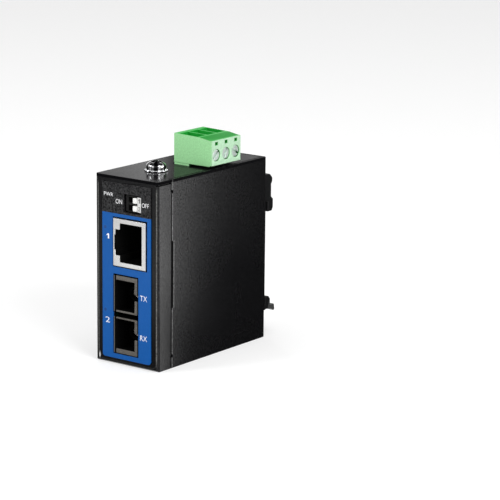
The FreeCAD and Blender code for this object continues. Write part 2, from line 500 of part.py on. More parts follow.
# ---------------------------------------------------------------- fibre transceiver
# A duplex receptacle in front, a shielded body behind it, and its pins on the board.
NOSE_FRONT = f"({FRONT} - nose_proud)"
NOSE_REAR = f"({FRONT} + nose_length)"
NOSE_MID = "(nose_low + nose_width/2)"
PORT_LEFT = f"({NOSE_BASE} + port_inset)"
PORT_END = f"({NOSE_FRONT} + port_depth)"
BORE_X = f"({PORT_LEFT} + port_tall/2)"
port_mids = dict(zip(("lower", "upper"), around(NOSE_MID, "port_pitch/2")))
before_nose = f"{NOSE_FRONT} - sheet"
nose_cuts = [box("nose_groove", grown(nose_x, "sheet"), (before_nose, f"{NOSE_FRONT} + groove_depth"),
                 around(NOSE_MID, "groove_half"))]
port_bits, bores, sleeves = [], [], []
for n, mid in port_mids.items():
    bore_y = (f"{PORT_END} - barrel_length", NOSE_REAR)
    nose_cuts += [box(f"port_{n}", (PORT_LEFT, f"{PORT_LEFT} + port_tall"), (before_nose, PORT_END),
                      around(mid, "port_half")),
                  box(f"port_key_{n}", (f"{PORT_LEFT} + port_tall - sheet", f"{nose_x[1]} + sheet"),
                      (before_nose, f"{PORT_END} - key_stop"), around(mid, "key_half"))]
    port_bits.append(rod(f"barrel_{n}", "y", "barrel_radius", (bore_y[0], f"{PORT_END} + sheet"),
                         (BORE_X, mid)))
    for side, wall in zip(("low", "high"), around(mid, "port_half - catch_gap - catch_thick/2")):
        port_bits.append(box(f"catch_{n}_{side}", around(BORE_X, "catch_half"),
                             (f"{PORT_END} - catch_reach", PORT_END), around(wall, "catch_thick/2")))
    bores.append(rod(f"sleeve_bore_{n}", "y", "ferrule_bore + sleeve_wall",
                     grown(bore_y, "sheet"), (BORE_X, mid)))
    sleeve = rod(f"sleeve_{n}", "y", "ferrule_bore + sleeve_wall",
                 (f"{bore_y[0]} + sleeve_inset", NOSE_REAR), (BORE_X, mid))
    hole = rod(f"sleeve_hole_{n}", "y", "ferrule_bore", grown(bore_y, "sheet"), (BORE_X, mid))
    split = box(f"sleeve_split_{n}", (BORE_X, f"{BORE_X} + 2*ferrule_bore"), grown(bore_y, "sheet"),
                around(mid, "sleeve_split/2"))
    sleeves.append(cut(f"sleeve_whole_{n}", sleeve, [hole, split]))
nose_block = box("nose_block", nose_x, (NOSE_FRONT, NOSE_REAR), nose_z)
nose_filled = fuse("nose_filled", [cut("nose_open", nose_block, nose_cuts)] + port_bits)
node("transceiver_nose", cut("nose_moulded", nose_filled, bores))
node("ferrule_sleeves", group("sleeve_pair", sleeves))

OPTIC_REAR = f"({NOSE_REAR} + optic_length)"
optic_inside = (f"{nose_z[0]} + optic_wall", f"{nose_z[1]} - optic_wall")
optic_block = box("optic_block", (f"{BOARD} + optic_lift", nose_x[1]), (NOSE_REAR, OPTIC_REAR), nose_z)
optic_hollow = box("optic_hollow", (BOARD, f"{nose_x[1]} - optic_wall"),
                   (f"{NOSE_REAR} - sheet", f"{OPTIC_REAR} - optic_wall"), optic_inside)
node("transceiver_body", cut("optic_shell", optic_block, [optic_hollow]))
CAN_REAR = f"({NOSE_REAR} + can_length)"
for name, mid in (("laser_can", port_mids["upper"]), ("photodiode_can", port_mids["lower"])):
    barrel = rod(f"{name}_barrel", "y", "can_radius", (NOSE_REAR, CAN_REAR), (BORE_X, mid))
    rim = rod(f"{name}_rim", "y", "can_radius + can_rim", (f"{CAN_REAR} - can_rim_length", CAN_REAR),
              (BORE_X, mid))
    node(name, fuse(f"{name}_whole", [barrel, rim]))
DRIVER = f"({BORE_X} - driver_drop)"
node("driver_board", box("driver", (DRIVER, f"{DRIVER} + driver_thick"),
                         (CAN_REAR, f"{OPTIC_REAR} - optic_wall"), optic_inside))
node("transceiver_pins", group("optic_pin_row", [
    box(f"optic_pin_{n}", (BOARD, DRIVER), around(f"{OPTIC_REAR} - pin_inset", "pin_size/2"),
        around(f"{NOSE_MID} + ({n} - 4)*pin_pitch", "pin_size/2")) for n in range(9)]))

# ---------------------------------------------------------------- two-way switch
# A moulded block in the front window, with two sliding levers and four bent leads.
SWITCH_FACE = f"({FRONT} + switch_back)"
SWITCH_REAR = f"({SWITCH_FACE} + switch_depth)"
LEVER_RIGHT = f"({switch_x[1]} - lever_inset)"
LEVER_LEFT = f"({LEVER_RIGHT} - lever_wide)"
lever_mids = dict(zip(("2", "1"), around(SWITCH_MID, "lever_pitch/2")))
slots = []
for n, mid in lever_mids.items():
    slots.append(box(f"lever_slot_{n}",
                     (f"{LEVER_LEFT} - lever_travel - lever_gap - lever_stop", f"{LEVER_RIGHT} + lever_gap"),
                     (f"{SWITCH_FACE} - sheet", f"{SWITCH_FACE} + lever_depth + lever_gap"),
                     around(mid, "lever_tall/2 + lever_gap")))
    knob = pad(f"lever_{n}", "XZ", rectangle((LEVER_LEFT, LEVER_RIGHT), around(mid, "lever_tall/2")),
               f"{SWITCH_FACE} - lever_proud", f"{SWITCH_FACE} + lever_depth")
    node(f"switch_lever_{n}", round_edges(
        knob, "lever_round", lambda e: near(e.CenterOfMass.y, f"{SWITCH_FACE} - lever_proud")))
switch_block = box("switch_block", switch_x, (SWITCH_FACE, SWITCH_REAR), switch_z)
node("switch_body", cut("switch_moulded", switch_block, slots))
leads = []
for n, mid in lever_mids.items():
    for side, x, back in (("left", f"{switch_x[0]} + lead_inset", "lead_near"),
                          ("right", f"{switch_x[1]} - lead_inset", "lead_far")):
        bend = (f"{SWITCH_REAR} + {back}", f"{SWITCH_REAR} + {back} + lead_size")
        z = around(mid, "lead_size/2")
        leads.append(fuse(f"switch_lead_{n}_{side}", [
            box(f"lead_out_{n}_{side}", around(x, "lead_size/2"), (SWITCH_REAR, bend[1]), z),
            box(f"lead_down_{n}_{side}", (BOARD, f"{x} + lead_size/2"), bend, z)]))
node("switch_leads", group("switch_lead_set", leads))

# ---------------------------------------------------------------- power terminal
# A header on the board's top edge and the pluggable half above the case: three chambers,
# each with a rising cage, a captive screw and a forked contact.
HEADER_LOW = f"({TOP} - header_drop)"
HEADER_TOP = f"({INNER_TOP} - header_top_gap)"
PIN_X = f"({TONGUE_LEFT} + pin_offset)"
PIN_TOP = f"({TOP} - pin_drop)"
PIN_LOW = f"({HEADER_LOW} - pin_below)"
pole_mids = {n: f"({PLUG_MID} + ({n} - 2)*pole_pitch)" for n in (1, 2, 3)}
header_block = box("header_block", (BOARD, f"{TONGUE_RIGHT} + tongue_gap + header_wall"),
                   grown(plug_y, "header_wall"), (HEADER_LOW, HEADER_TOP))
header_cuts = [box("header_cavity", grown((TONGUE_LEFT, TONGUE_RIGHT), "tongue_gap"),
                   grown(plug_y, "tongue_gap"), (f"{HEADER_LOW} + header_floor", TOP))]
header_pins = []
for n, mid in pole_mids.items():
    x, y = around(PIN_X, "header_pin/2"), around(mid, "header_pin/2")
    header_cuts.append(box(f"pin_slot_{n}", x, y, (PIN_LOW, f"{HEADER_LOW} + header_floor + sheet")))
    header_pins.append(fuse(f"header_pin_{n}", [
        box(f"pin_up_{n}", x, y, (PIN_LOW, PIN_TOP)),
        box(f"pin_in_{n}", (BOARD, x[1]), y, (PIN_LOW, f"{PIN_LOW} + header_pin"))]))
node("terminal_header", cut("header_moulded", header_block, header_cuts))
node("header_pins", group("header_pin_row", header_pins))

PLUG_LOW = f"({TOP} + plug_lift)"
PLUG_TOP = f"({PLUG_LOW} + plug_height)"
TONGUE_LOW = f"({TOP} - tongue_drop)"
CAGE_LEFT = f"({PLUG_LEFT} + cage_offset)"
CAGE_RIGHT = f"({CAGE_LEFT} + cage_width)"
CHAMBER_RIGHT = f"({CAGE_RIGHT} + cage_travel + cage_gap)"
SCREW_SEAT = f"({CHAMBER_RIGHT} + chamber_wall)"
SCREW_TIP = f"({SCREW_SEAT} + clamp_head_height)"
PLUG_RIGHT = f"({SCREW_TIP} + clamp_recess)"
CLAMP = f"({PLUG_LOW} + clamp_rise)"
chamber_z = (f"{PLUG_LOW} + chamber_rise", f"{PLUG_LOW} + chamber_top")
entry_x = (f"{CAGE_LEFT} + entry_inset", f"{CAGE_LEFT} + entry_inset + entry_width")
BAR = f"({entry_x[1]} + bar_gap)"
BAR_END = f"({BAR} + contact_thick)"
STRIP = f"({PLUG_LOW} + strip_rise)"
CONTACT_HALF = "(cage_half - cage_side - contact_gap)"
fork_x = around(PIN_X, "fork_half")
shoulder = f"{PLUG_TOP} - slope_drop"
plug_outline = [(PLUG_LEFT, PLUG_LOW), (f"{PLUG_RIGHT} - plug_foot", PLUG_LOW),
                (f"{PLUG_RIGHT} - plug_foot", f"{PLUG_LOW} + plug_foot_rise"),
                (PLUG_RIGHT, f"{PLUG_LOW} + plug_foot_rise"), (PLUG_RIGHT, shoulder),
                (f"{PLUG_RIGHT} - slope_land", shoulder),
                (f"{PLUG_RIGHT} - slope_length", f"{PLUG_TOP} - slope_lean"),
                (PLUG_LEFT, PLUG_TOP)]
plug_upper = pad("plug_upper", "XZ", plug_outline, *plug_y)
plug_tongue = box("plug_tongue", (TONGUE_LEFT, TONGUE_RIGHT), grown(plug_y, "(-tongue_slim)"),
                  (TONGUE_LOW, f"{PLUG_LOW} + sheet"))
plug_cuts, contacts = [], []
for n, mid in pole_mids.items():
    at = (mid, CLAMP)
    contact_y = around(mid, CONTACT_HALF)
    contact_way = grown(contact_y, "contact_room")
    plug_cuts += [
        box(f"chamber_{n}", (f"{CAGE_LEFT} - 2*cage_gap", CHAMBER_RIGHT),
            around(mid, "cage_half + chamber_side"), chamber_z),
        rod(f"screw_well_{n}", "x", "clamp_head + head_bore_gap", (SCREW_SEAT, f"{PLUG_RIGHT} + sheet"), at),
        rod(f"shank_bore_{n}", "x", "clamp_radius + shank_gap", (CAGE_RIGHT, f"{SCREW_SEAT} + sheet"), at),
        box(f"wire_way_{n}", entry_x, around(mid, "entry_half"),
            (f"{chamber_z[1]} - sheet", f"{PLUG_TOP} + sheet")),
        box(f"funnel_{n}", (f"{entry_x[0]} - funnel_left", f"{entry_x[1]} + funnel_right"),
            around(mid, "funnel_half"), (f"{PLUG_TOP} - funnel_depth", f"{PLUG_TOP} + sheet")),
        box(f"test_slot_{n}", (f"{PLUG_RIGHT} - test_slot_depth", f"{PLUG_RIGHT} + sheet"),
            around(mid, "test_slot/2"),
            (f"{CLAMP} + test_slot_rise", f"{CLAMP} + test_slot_rise + test_slot_tall")),
        box(f"strip_way_{n}", (fork_x[0], BAR_END), contact_way, (STRIP, f"{chamber_z[0]} + sheet/2")),
        box(f"fork_way_{n}", fork_x, contact_way, (f"{TONGUE_LOW} - sheet", f"{STRIP} + sheet"))]
    strip = box(f"strip_{n}", (fork_x[0], BAR_END), contact_y, (STRIP, f"{STRIP} + contact_thick"))
    bar = box(f"bar_{n}", (BAR, BAR_END), contact_y, (STRIP, f"{chamber_z[1]} - bar_room"))
    fork = box(f"fork_{n}", fork_x, contact_y, (f"{TOP} - contact_drop", f"{STRIP} + contact_thick"))
    pin_room = "header_pin/2 + thread_gap"
    fork_slot = box(f"fork_slot_{n}", around(PIN_X, pin_room), around(mid, pin_room),
                    (f"{TONGUE_LOW} - sheet", f"{PIN_TOP} + fork_room"))
    contacts.append(cut(f"plug_contact_{n}", fuse(f"contact_joined_{n}", [strip, bar, fork]), [fork_slot]))

    head = rod(f"clamp_head_{n}", "x", "clamp_head", (SCREW_SEAT, SCREW_TIP), at)
    shank = rod(f"clamp_shank_{n}", "x", "clamp_radius",
                (f"{BAR_END} + cage_gap", f"{SCREW_SEAT} + screw_join"), at)
    slot = box(f"clamp_slot_{n}", (f"{SCREW_TIP} - clamp_slot_depth", f"{SCREW_TIP} + sheet"),
               around(mid, "clamp_slot/2"), around(CLAMP, "2*clamp_head"))
    node(f"clamp_screw_{n}", cut(f"clamp_screw_whole_{n}", fuse(f"clamp_solid_{n}", [head, shank]), [slot]))
    cage = box(f"cage_block_{n}", (CAGE_LEFT, CAGE_RIGHT), around(mid, "cage_half"),
               grown(chamber_z, "(-cage_gap)"))
    window = box(f"cage_window_{n}", grown((CAGE_LEFT, CAGE_RIGHT), "(-cage_wall)"),
                 around(mid, "cage_half - cage_side"), chamber_z)
    thread = rod(f"cage_thread_{n}", "x", "clamp_radius + thread_gap",
                 (f"{CAGE_RIGHT} - 2*cage_wall", f"{CAGE_RIGHT} + sheet"), at)
    node(f"clamp_cage_{n}", cut(f"clamp_cage_whole_{n}", cage, [window, thread]))
node("terminal_plug", cut("plug_moulded", fuse("plug_solid", [plug_upper, plug_tongue]), plug_cuts))
node("plug_contacts", group("plug_contact_row", contacts))

# ---------------------------------------------------------------- earth screw
# A pan-head screw with a captive toothed washer, in a clinched nut under the top wall.
WASHER_TOP = f"({TOP} + washer_thick)"
EARTH_TOP = f"({WASHER_TOP} + earth_head_height)"
head_rod = rod("earth_head_rod", "z", "earth_head", (WASHER_TOP, EARTH_TOP), EARTH_AT)
dome = doc.addObject("Part::Sphere", "earth_dome_ball")
bind(dome, Radius="earth_dome", Placement__Base__x="earth_shift", Placement__Base__y=EARTH,
     Placement__Base__z=f"{EARTH_TOP} - earth_dome")
earth_head = doc.addObject("Part::MultiCommon", "earth_head_domed")
earth_head.Shapes = [head_rod, dome]
shank = rod("earth_shank", "z", "earth_radius",
            (f"{WASHER_TOP} - earth_length", f"{WASHER_TOP} + screw_join"), EARTH_AT)
cross = [box(f"earth_cross_{n}", around("earth_shift", f"{a}/2"), around(EARTH, f"{b}/2"),
             (f"{EARTH_TOP} - earth_slot_depth", f"{EARTH_TOP} + sheet"))
         for n, (a, b) in enumerate([("earth_slot", "earth_slot_length"),
                                     ("earth_slot_length", "earth_slot")])]
node("earth_screw", cut("earth_screw_whole", fuse("earth_solid", [earth_head, shank]), cross))
washer_bits = [rod("washer_disc", "z", "washer_radius", (f"{TOP} + washer_lift", WASHER_TOP), EARTH_AT)]
for n in range(TOOTH_COUNT):
    tooth = doc.addObject("Part::Box", f"washer_tooth_{n}")
    tooth.Placement.Rotation = FreeCAD.Rotation(FreeCAD.Vector(0, 0, 1), 360 * n / TOOTH_COUNT)
    side = tooth.Placement.Rotation.multVec(FreeCAD.Vector(0, -0.5, 0))
    bind(tooth, Length="washer_radius + tooth_reach", Width="tooth_width", Height="washer_thick",
         Placement__Base__x=f"earth_shift + ({side.x:.6f})*tooth_width",
         Placement__Base__y=f"{EARTH} + {side.y:.6f}*tooth_width", Placement__Base__z=TOP)
    washer_bits.append(tooth)
washer_bore = rod("washer_bore", "z", "earth_radius + washer_gap", (INNER_TOP, f"{WASHER_TOP} + sheet"),
                  EARTH_AT)
node("toothed_washer", cut("washer_whole", fuse("washer_solid", washer_bits), [washer_bore]))
nut = rod("nut_disc", "z", "earth_nut_radius", (f"{INNER_TOP} - earth_nut_height", INNER_TOP), EARTH_AT)
nut_bore = rod("nut_bore", "z", "earth_radius + thread_gap", (f"{INNER_TOP} - 2*earth_nut_height", TOP),
               EARTH_AT)
node("earth_nut", cut("nut_tapped", nut, [nut_bore]))

# ---------------------------------------------------------------- rail clip
# A moulded base with a fixed hook over the rail's upper lip, and a sprung latch with a
# foot lever that slides down in a channel to let go of the lower lip.
BASE = f"({REAR} + clip_base)"
LIP = f"({BASE} + rail_lip)"
HOOK = f"({REAR} + hook_back)"
COLUMN = f"({REAR} + column_back)"
KNOB = f"({REAR} + knob_back)"
KNOB_LOW = f"({CLIP_TOP} - knob_drop)"
HOOK_LOW = f"({RAIL_TOP} - hook_catch)"
CHANNEL_BACK = f"({REAR} + channel_deep)"
SLOT_LOW = f"({RAIL_LOW} + latch_slot_rise)"
clip_outline = [(REAR, f"{RAIL_LOW} + rail_gap"), (BASE, f"{RAIL_LOW} + rail_gap"),
                (BASE, f"{RAIL_TOP} + rail_gap"), (LIP, f"{RAIL_TOP} + rail_gap"), (LIP, HOOK_LOW),
                (f"{HOOK} - hook_bevel", HOOK_LOW), (HOOK, f"{HOOK_LOW} + hook_slope"),
                (HOOK, f"{RAIL_TOP} + hook_thick"), (COLUMN, f"{RAIL_TOP} + hook_thick + column_slope"),
                (COLUMN, f"{KNOB_LOW} - knob_slope"), (KNOB, KNOB_LOW),
                (KNOB, f"{CLIP_TOP} - clip_top_bevel"), (f"{KNOB} - clip_top_bevel", CLIP_TOP),
                (REAR, CLIP_TOP)]
clip_blank = pad("clip_blank", "YZ", clip_outline, *around("0", "clip_half"))
channel = box("latch_channel", around("0", "channel_half"), (f"{REAR} - sheet", CHANNEL_BACK),
              (f"{RAIL_LOW} - channel_under", f"{RAIL_MID} + channel_over"))
hook_relief = box("hook_relief", around("0", "clip_half - relief_side"),
                  (f"{BASE} - relief_deep", f"{HOOK} + sheet"),
                  (f"{RAIL_TOP} + relief_low", f"{KNOB_LOW} - relief_top"))
lug = box("spring_lug_block", around("0", "latch_slot_half - latch_gap"),
          (REAR, f"{CHANNEL_BACK} + lug_join"),
          (f"{SLOT_LOW} + latch_gap", f"{SLOT_LOW} + latch_gap + spring_lug"))
clip_cuts, clip_screws, clip_nuts = [], [], []
for n, at in enumerate(clip_screws_at):
    sink = (f"{BASE} - clip_sink", BASE)
    clip_cuts += [rod(f"clip_bore_{n}", "y", "clip_screw_radius + hole_gap", (f"{REAR} - sheet", BASE), at),
                  cone(f"clip_sink_{n}", "y", ("clip_screw_radius + hole_gap", "clip_screw_head + hole_gap"),
                       sink, at),
                  rod(f"clip_well_{n}", "y", "clip_screw_head + hole_gap", (BASE, f"{KNOB} + 2*sheet"), at)]
    clip_screws.append(fuse(f"clip_screw_{n}", [
        cone(f"clip_head_{n}", "y", ("clip_screw_radius", "clip_screw_head"), sink, at),
        rod(f"clip_shank_{n}", "y", "clip_screw_radius",
            (f"{REAR} - clip_screw_bite", f"{sink[0]} + screw_join"), at)]))
    nut_disc = rod(f"clip_nut_disc_{n}", "y", "clip_nut_radius",
                   (f"{REAR} - sheet - clip_nut_height", f"{REAR} - sheet"), at)
    clip_nuts.append(cut(f"clip_nut_{n}", nut_disc, [rod(
        f"clip_nut_bore_{n}", "y", "clip_screw_radius", (f"{REAR} - 2*clip_screw_bite", REAR), at)]))
clip_channelled = cut("clip_channelled", clip_blank, [channel, hook_relief])
node("rail_clip", cut("clip_moulded", fuse("clip_with_lug", [clip_channelled, lug]), clip_cuts))
node("clip_screws", group("clip_screw_pair", clip_screws))
node("clip_nuts", group("clip_nut_pair", clip_nuts))

FOOT_LOW = f"({RAIL_LOW} - foot_drop)"
FOOT_TOP = f"({FOOT_LOW} + foot_thick)"
CATCH_TOP = f"({RAIL_LOW} + latch_catch)"
LATCH_TOP = f"({RAIL_MID} + latch_over)"
BRIDGE = f"({LATCH_TOP} - latch_bridge)"
latch_y = (f"{REAR} + latch_gap", f"{CHANNEL_BACK} - latch_gap")
plate = box("latch_plate", around("0", "channel_half - latch_gap"), latch_y,
            (f"{FOOT_LOW} + 0.2*foot_thick", LATCH_TOP))
plate_slot = box("latch_slot", around("0", "latch_slot_half"), (REAR, CHANNEL_BACK), (SLOT_LOW, BRIDGE))
# the foot lever's underside runs in a shallow wave out to a lip that a finger or driver finds
foot_wave = [(0.0, 0.2), (0.3, 0.2), (0.54, 0.45), (0.79, 0.35), (0.96, -0.2), (1.0, 0.1)]
foot_outline = [(f"{latch_y[0]} + {out}*(foot_reach - latch_gap)", f"{FOOT_LOW} + ({up})*foot_thick")
                for out, up in foot_wave]
latch_back = f"{HOOK} - latch_set_back"
foot_outline += [(f"{REAR} + foot_reach - latch_set_back", FOOT_TOP), (latch_back, FOOT_TOP),
                 (latch_back, f"{CATCH_TOP} - latch_catch_lead"),
                 (f"{HOOK} - latch_bevel", CATCH_TOP), (LIP, CATCH_TOP),
                 (LIP, f"{RAIL_LOW} - rail_gap"), (latch_y[0], f"{RAIL_LOW} - rail_gap")]
foot = pad("latch_foot", "YZ", foot_outline, *around("0", "foot_half"))
# hollowed behind, so that it slides down over the cover's lower screw
screw_room = box("latch_screw_room", around("lip_shift", "cover_screw_head + latch_room"),
                 (REAR, f"{REAR} + cover_screw_height + latch_room"),
                 ("0", "cover_screw_inset + cover_screw_head + latch_travel + latch_room"))
node("rail_latch", cut("latch_moulded", fuse("latch_joined", [plate, foot]), [plate_slot, screw_room]))

SPRING_LOW = f"({SLOT_LOW} + latch_gap + spring_lug)"
SPRING_RUN = f"({BRIDGE} - {SPRING_LOW} - spring_wire)"
coil_at = {"Placement__Base__y": f"{REAR} + channel_deep/2",
           "Placement__Base__z": f"{SPRING_LOW} + spring_wire/2"}
helix = doc.addObject("Part::Helix", "spring_path")
bind(helix, Radius="spring_radius", Pitch=f"{SPRING_RUN}/spring_turns", Height=SPRING_RUN, **coil_at)
wire_ring = doc.addObject("Part::Circle", "spring_section")
bind(wire_ring, Radius="spring_wire/2", Placement__Base__x="spring_radius", **coil_at)
wire_ring.Placement.Rotation = FreeCAD.Rotation(FreeCAD.Vector(1, 0, 0), 90)
coil = doc.addObject("Part::Sweep", "spring_coil")
coil.Sections = [wire_ring]
coil.Spine = (helix, ["Edge1"])
coil.Solid = True
coil.Frenet = True
node("latch_spring", coil)

# ---------------------------------------------------------------- board parts
# Moulded packages and two upright capacitors, soldered to the board's right face.
BACK_ZONE = f"({OPTIC_REAR} + 2*part_gap)"
CHIP_FRONT = f"({JACK_REAR} + part_gap)"
CONVERTER_FRONT = f"({CHIP_FRONT} + transformer_long + converter_gap)"
MEMORY_FRONT = f"({CONVERTER_FRONT} + converter_side + part_gap)"
CAPACITORS_TOP = "(capacitor_rise + capacitor_pitch + capacitor_radius)"
FUSE_FRONT = f"({plug_y[1]} + header_wall + part_gap)"


def chip(label, corner, size):
    """A moulded package on the board from one corner: long, wide and high, in named sizes."""
    y, z = corner
    long_side, wide_side, high = size
    node(label, box(label + "_block", (BOARD, f"{BOARD} + {high}"), (y, f"{y} + {long_side}"),
                    (z, f"{z} + {wide_side}")))


chip("lan_transformer", (CHIP_FRONT, f"{JACK_LOW} + transformer_rise"),
     ("transformer_long", "transformer_wide", "transformer_high"))
chip("converter_chip", (CONVERTER_FRONT, f"{JACK_LOW} + part_gap"),
     ("converter_side", "converter_side", "converter_high"))
chip("memory_chip", (MEMORY_FRONT, f"{JACK_LOW} + memory_rise"),
     ("memory_long", "memory_wide", "memory_high"))
chip("power_inductor", (f"{BACK_ZONE} + part_gap", f"{CAPACITORS_TOP} + part_gap"),
     ("inductor_side", "inductor_side", "inductor_high"))
chip("crystal", (f"{BOARD_REAR} - crystal_back", f"{JACK_LOW} + crystal_rise"),
     ("crystal_long", "crystal_wide", "crystal_high"))
chip("fuse", (FUSE_FRONT, f"{HEADER_LOW} - fuse_drop"), ("fuse_long", "fuse_wide", "fuse_high"))
node("capacitors", group("capacitor_pair", [
    rod(f"capacitor_{n}", "x", "capacitor_radius", (BOARD, f"{BOARD} + capacitor_high"),
        (f"{BACK_ZONE} + part_gap + capacitor_radius", f"capacitor_rise + {n}*capacitor_pitch"))
    for n in range(2)]))

# ---------------------------------------------------------------- check and write
doc.recompute()
for thing in doc.Objects:
    if "Invalid" in thing.State or "Error" in thing.State:
        raise RuntimeError(f"{thing.Name} failed: {thing.State}")
for piece in nodes:
    if piece.Shape.isNull() or not piece.Shape.isValid():
        raise RuntimeError(f"{piece.Label} has no valid shape")
os.makedirs("parts", exist_ok=True)
for piece in nodes:
    piece.Shape.exportStep(os.path.join("parts", f"{piece.Label}.step"))
print(len(nodes), "nodes", sum(len(piece.Shape.Solids) for piece in nodes), "solids")
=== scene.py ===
"""Fibre media converter: the finished look of every piece, in metres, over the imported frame."""
import bmesh
import bpy
import math
from mathutils import Matrix, Vector


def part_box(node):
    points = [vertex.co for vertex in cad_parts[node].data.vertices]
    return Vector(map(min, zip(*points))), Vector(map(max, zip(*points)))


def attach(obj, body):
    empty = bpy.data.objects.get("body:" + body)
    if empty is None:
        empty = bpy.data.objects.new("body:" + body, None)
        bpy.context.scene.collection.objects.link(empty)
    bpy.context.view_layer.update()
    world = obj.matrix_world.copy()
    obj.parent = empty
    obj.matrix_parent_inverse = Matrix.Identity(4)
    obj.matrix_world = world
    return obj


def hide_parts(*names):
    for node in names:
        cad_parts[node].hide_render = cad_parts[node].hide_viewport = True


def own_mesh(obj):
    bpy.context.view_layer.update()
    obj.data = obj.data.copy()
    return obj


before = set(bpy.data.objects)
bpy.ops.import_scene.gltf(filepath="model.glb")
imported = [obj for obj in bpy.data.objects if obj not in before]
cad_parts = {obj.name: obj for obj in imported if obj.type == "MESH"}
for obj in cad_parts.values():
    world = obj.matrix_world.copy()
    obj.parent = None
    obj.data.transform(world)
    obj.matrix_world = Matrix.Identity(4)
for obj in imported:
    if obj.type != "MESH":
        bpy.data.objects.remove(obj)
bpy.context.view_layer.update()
MM = 0.001

# ------------------------------------------------------------------ chassis
# The left wall, front, top and bottom are one sheet of 1 mm steel, folded and corner
# welded, then powder coated near black. Its bends are round and its cut edges broken.
EDGE_BREAK = 0.12 * MM
COAT_BLACK = (0.004, 0.004, 0.0045, 1)


def edged(name, node, width, segments=2):
    """The node's sheet or moulding with every sharp edge broken by a small round."""
    mesh = bpy.data.meshes.new(name)
    built = bmesh.new()
    built.from_mesh(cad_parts[node].data)
    bmesh.ops.remove_doubles(built, verts=built.verts, dist=0.002 * MM)
    for face in built.faces:
        face.smooth = True
    built.to_mesh(mesh)
    built.free()
    piece = bpy.data.objects.new(name, mesh)
    bpy.context.scene.collection.objects.link(piece)
    rounding = piece.modifiers.new("broken edges", "BEVEL")
    rounding.width = width
    rounding.segments = segments
    rounding.limit_method = "ANGLE"
    rounding.angle_limit = math.radians(28)
    rounding.use_clamp_overlap = False
    flats = piece.modifiers.new("flat faces stay flat", "WEIGHTED_NORMAL")
    flats.mode = "FACE_AREA"
    flats.weight = 100
    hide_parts(node)
    return piece


def finish(piece, material, body):
    """Give a piece its material and slot, and let it ride on its body."""
    piece.data.materials.clear()
    piece.data.materials.append(material)
    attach(piece, body)
    return piece


def new_material(name, **settings):
    """A principled material with its constant sockets set, and its shader node."""
    material = bpy.data.materials.new(name)
    material.use_nodes = True
    shader = material.node_tree.nodes["Principled BSDF"]
    for socket, value in settings.items():
        shader.inputs[socket.replace("_", " ")].default_value = value
    return material, shader


def surface_grain():
    """Fine grain shared by paint, mouldings and castings: a height, a tint and a roughness."""
    group = bpy.data.node_groups.new("Surface Grain", "ShaderNodeTree")
    for name, start in (("Grain Size", 0.4 * MM), ("Tint", 0.2), ("Roughness", 0.4), ("Spread", 0.1)):
        socket = group.interface.new_socket(name, in_out="INPUT", socket_type="NodeSocketFloat")
        socket.default_value = start
    for name in ("Height", "Tone", "Roughness"):
        group.interface.new_socket(name, in_out="OUTPUT", socket_type="NodeSocketFloat")
    nodes, link = group.nodes, group.links.new
    given, out = nodes.new("NodeGroupInput"), nodes.new("NodeGroupOutput")
    place = nodes.new("ShaderNodeTexCoord")
    scale = nodes.new("ShaderNodeMath")
    scale.operation = "DIVIDE"
    scale.inputs[0].default_value = 1.0
    link(given.outputs["Grain Size"], scale.inputs[1])
    grain = nodes.new("ShaderNodeTexNoise")
    grain.inputs["Detail"].default_value = 3.0
    grain.inputs["Roughness"].default_value = 0.65
    link(place.outputs["Object"], grain.inputs["Vector"])
    link(scale.outputs[0], grain.inputs["Scale"])
    cloud = nodes.new("ShaderNodeTexNoise")
    cloud.inputs["Scale"].default_value = 90.0
    cloud.inputs["Detail"].default_value = 2.0
    link(place.outputs["Object"], cloud.inputs["Vector"])
    tone = nodes.new("ShaderNodeMapRange")
    tone.inputs["From Min"].default_value = 0.3
    tone.inputs["From Max"].default_value = 0.7
    link(grain.outputs["Fac"], tone.inputs["Value"])
    least = nodes.new("ShaderNodeMath")
    least.operation = "SUBTRACT"
    least.inputs[0].default_value = 1.0
    link(given.outputs["Tint"], least.inputs[1])
    link(least.outputs[0], tone.inputs["To Min"])
    most = nodes.new("ShaderNodeMath")
    most.operation = "ADD"
    most.inputs[0].default_value = 1.0
    link(given.outputs["Tint"], most.inputs[1])
    link(most.outputs[0], tone.inputs["To Max"])
    shift = nodes.new("ShaderNodeMath")
    shift.operation = "SUBTRACT"
    shift.inputs[1].default_value = 0.5
    link(cloud.outputs["Fac"], shift.inputs[0])
    rough = nodes.new("ShaderNodeMath")
    rough.operation = "MULTIPLY_ADD"
    link(shift.outputs[0], rough.inputs[0])
    link(given.outputs["Spread"], rough.inputs[1])
    link(given.outputs["Roughness"], rough.inputs[2])
    link(grain.outputs["Fac"], out.inputs["Height"])
    link(tone.outputs["Result"], out.inputs["Tone"])
    link(rough.outputs[0], out.inputs["Roughness"])
    return group


GRAIN = surface_grain()


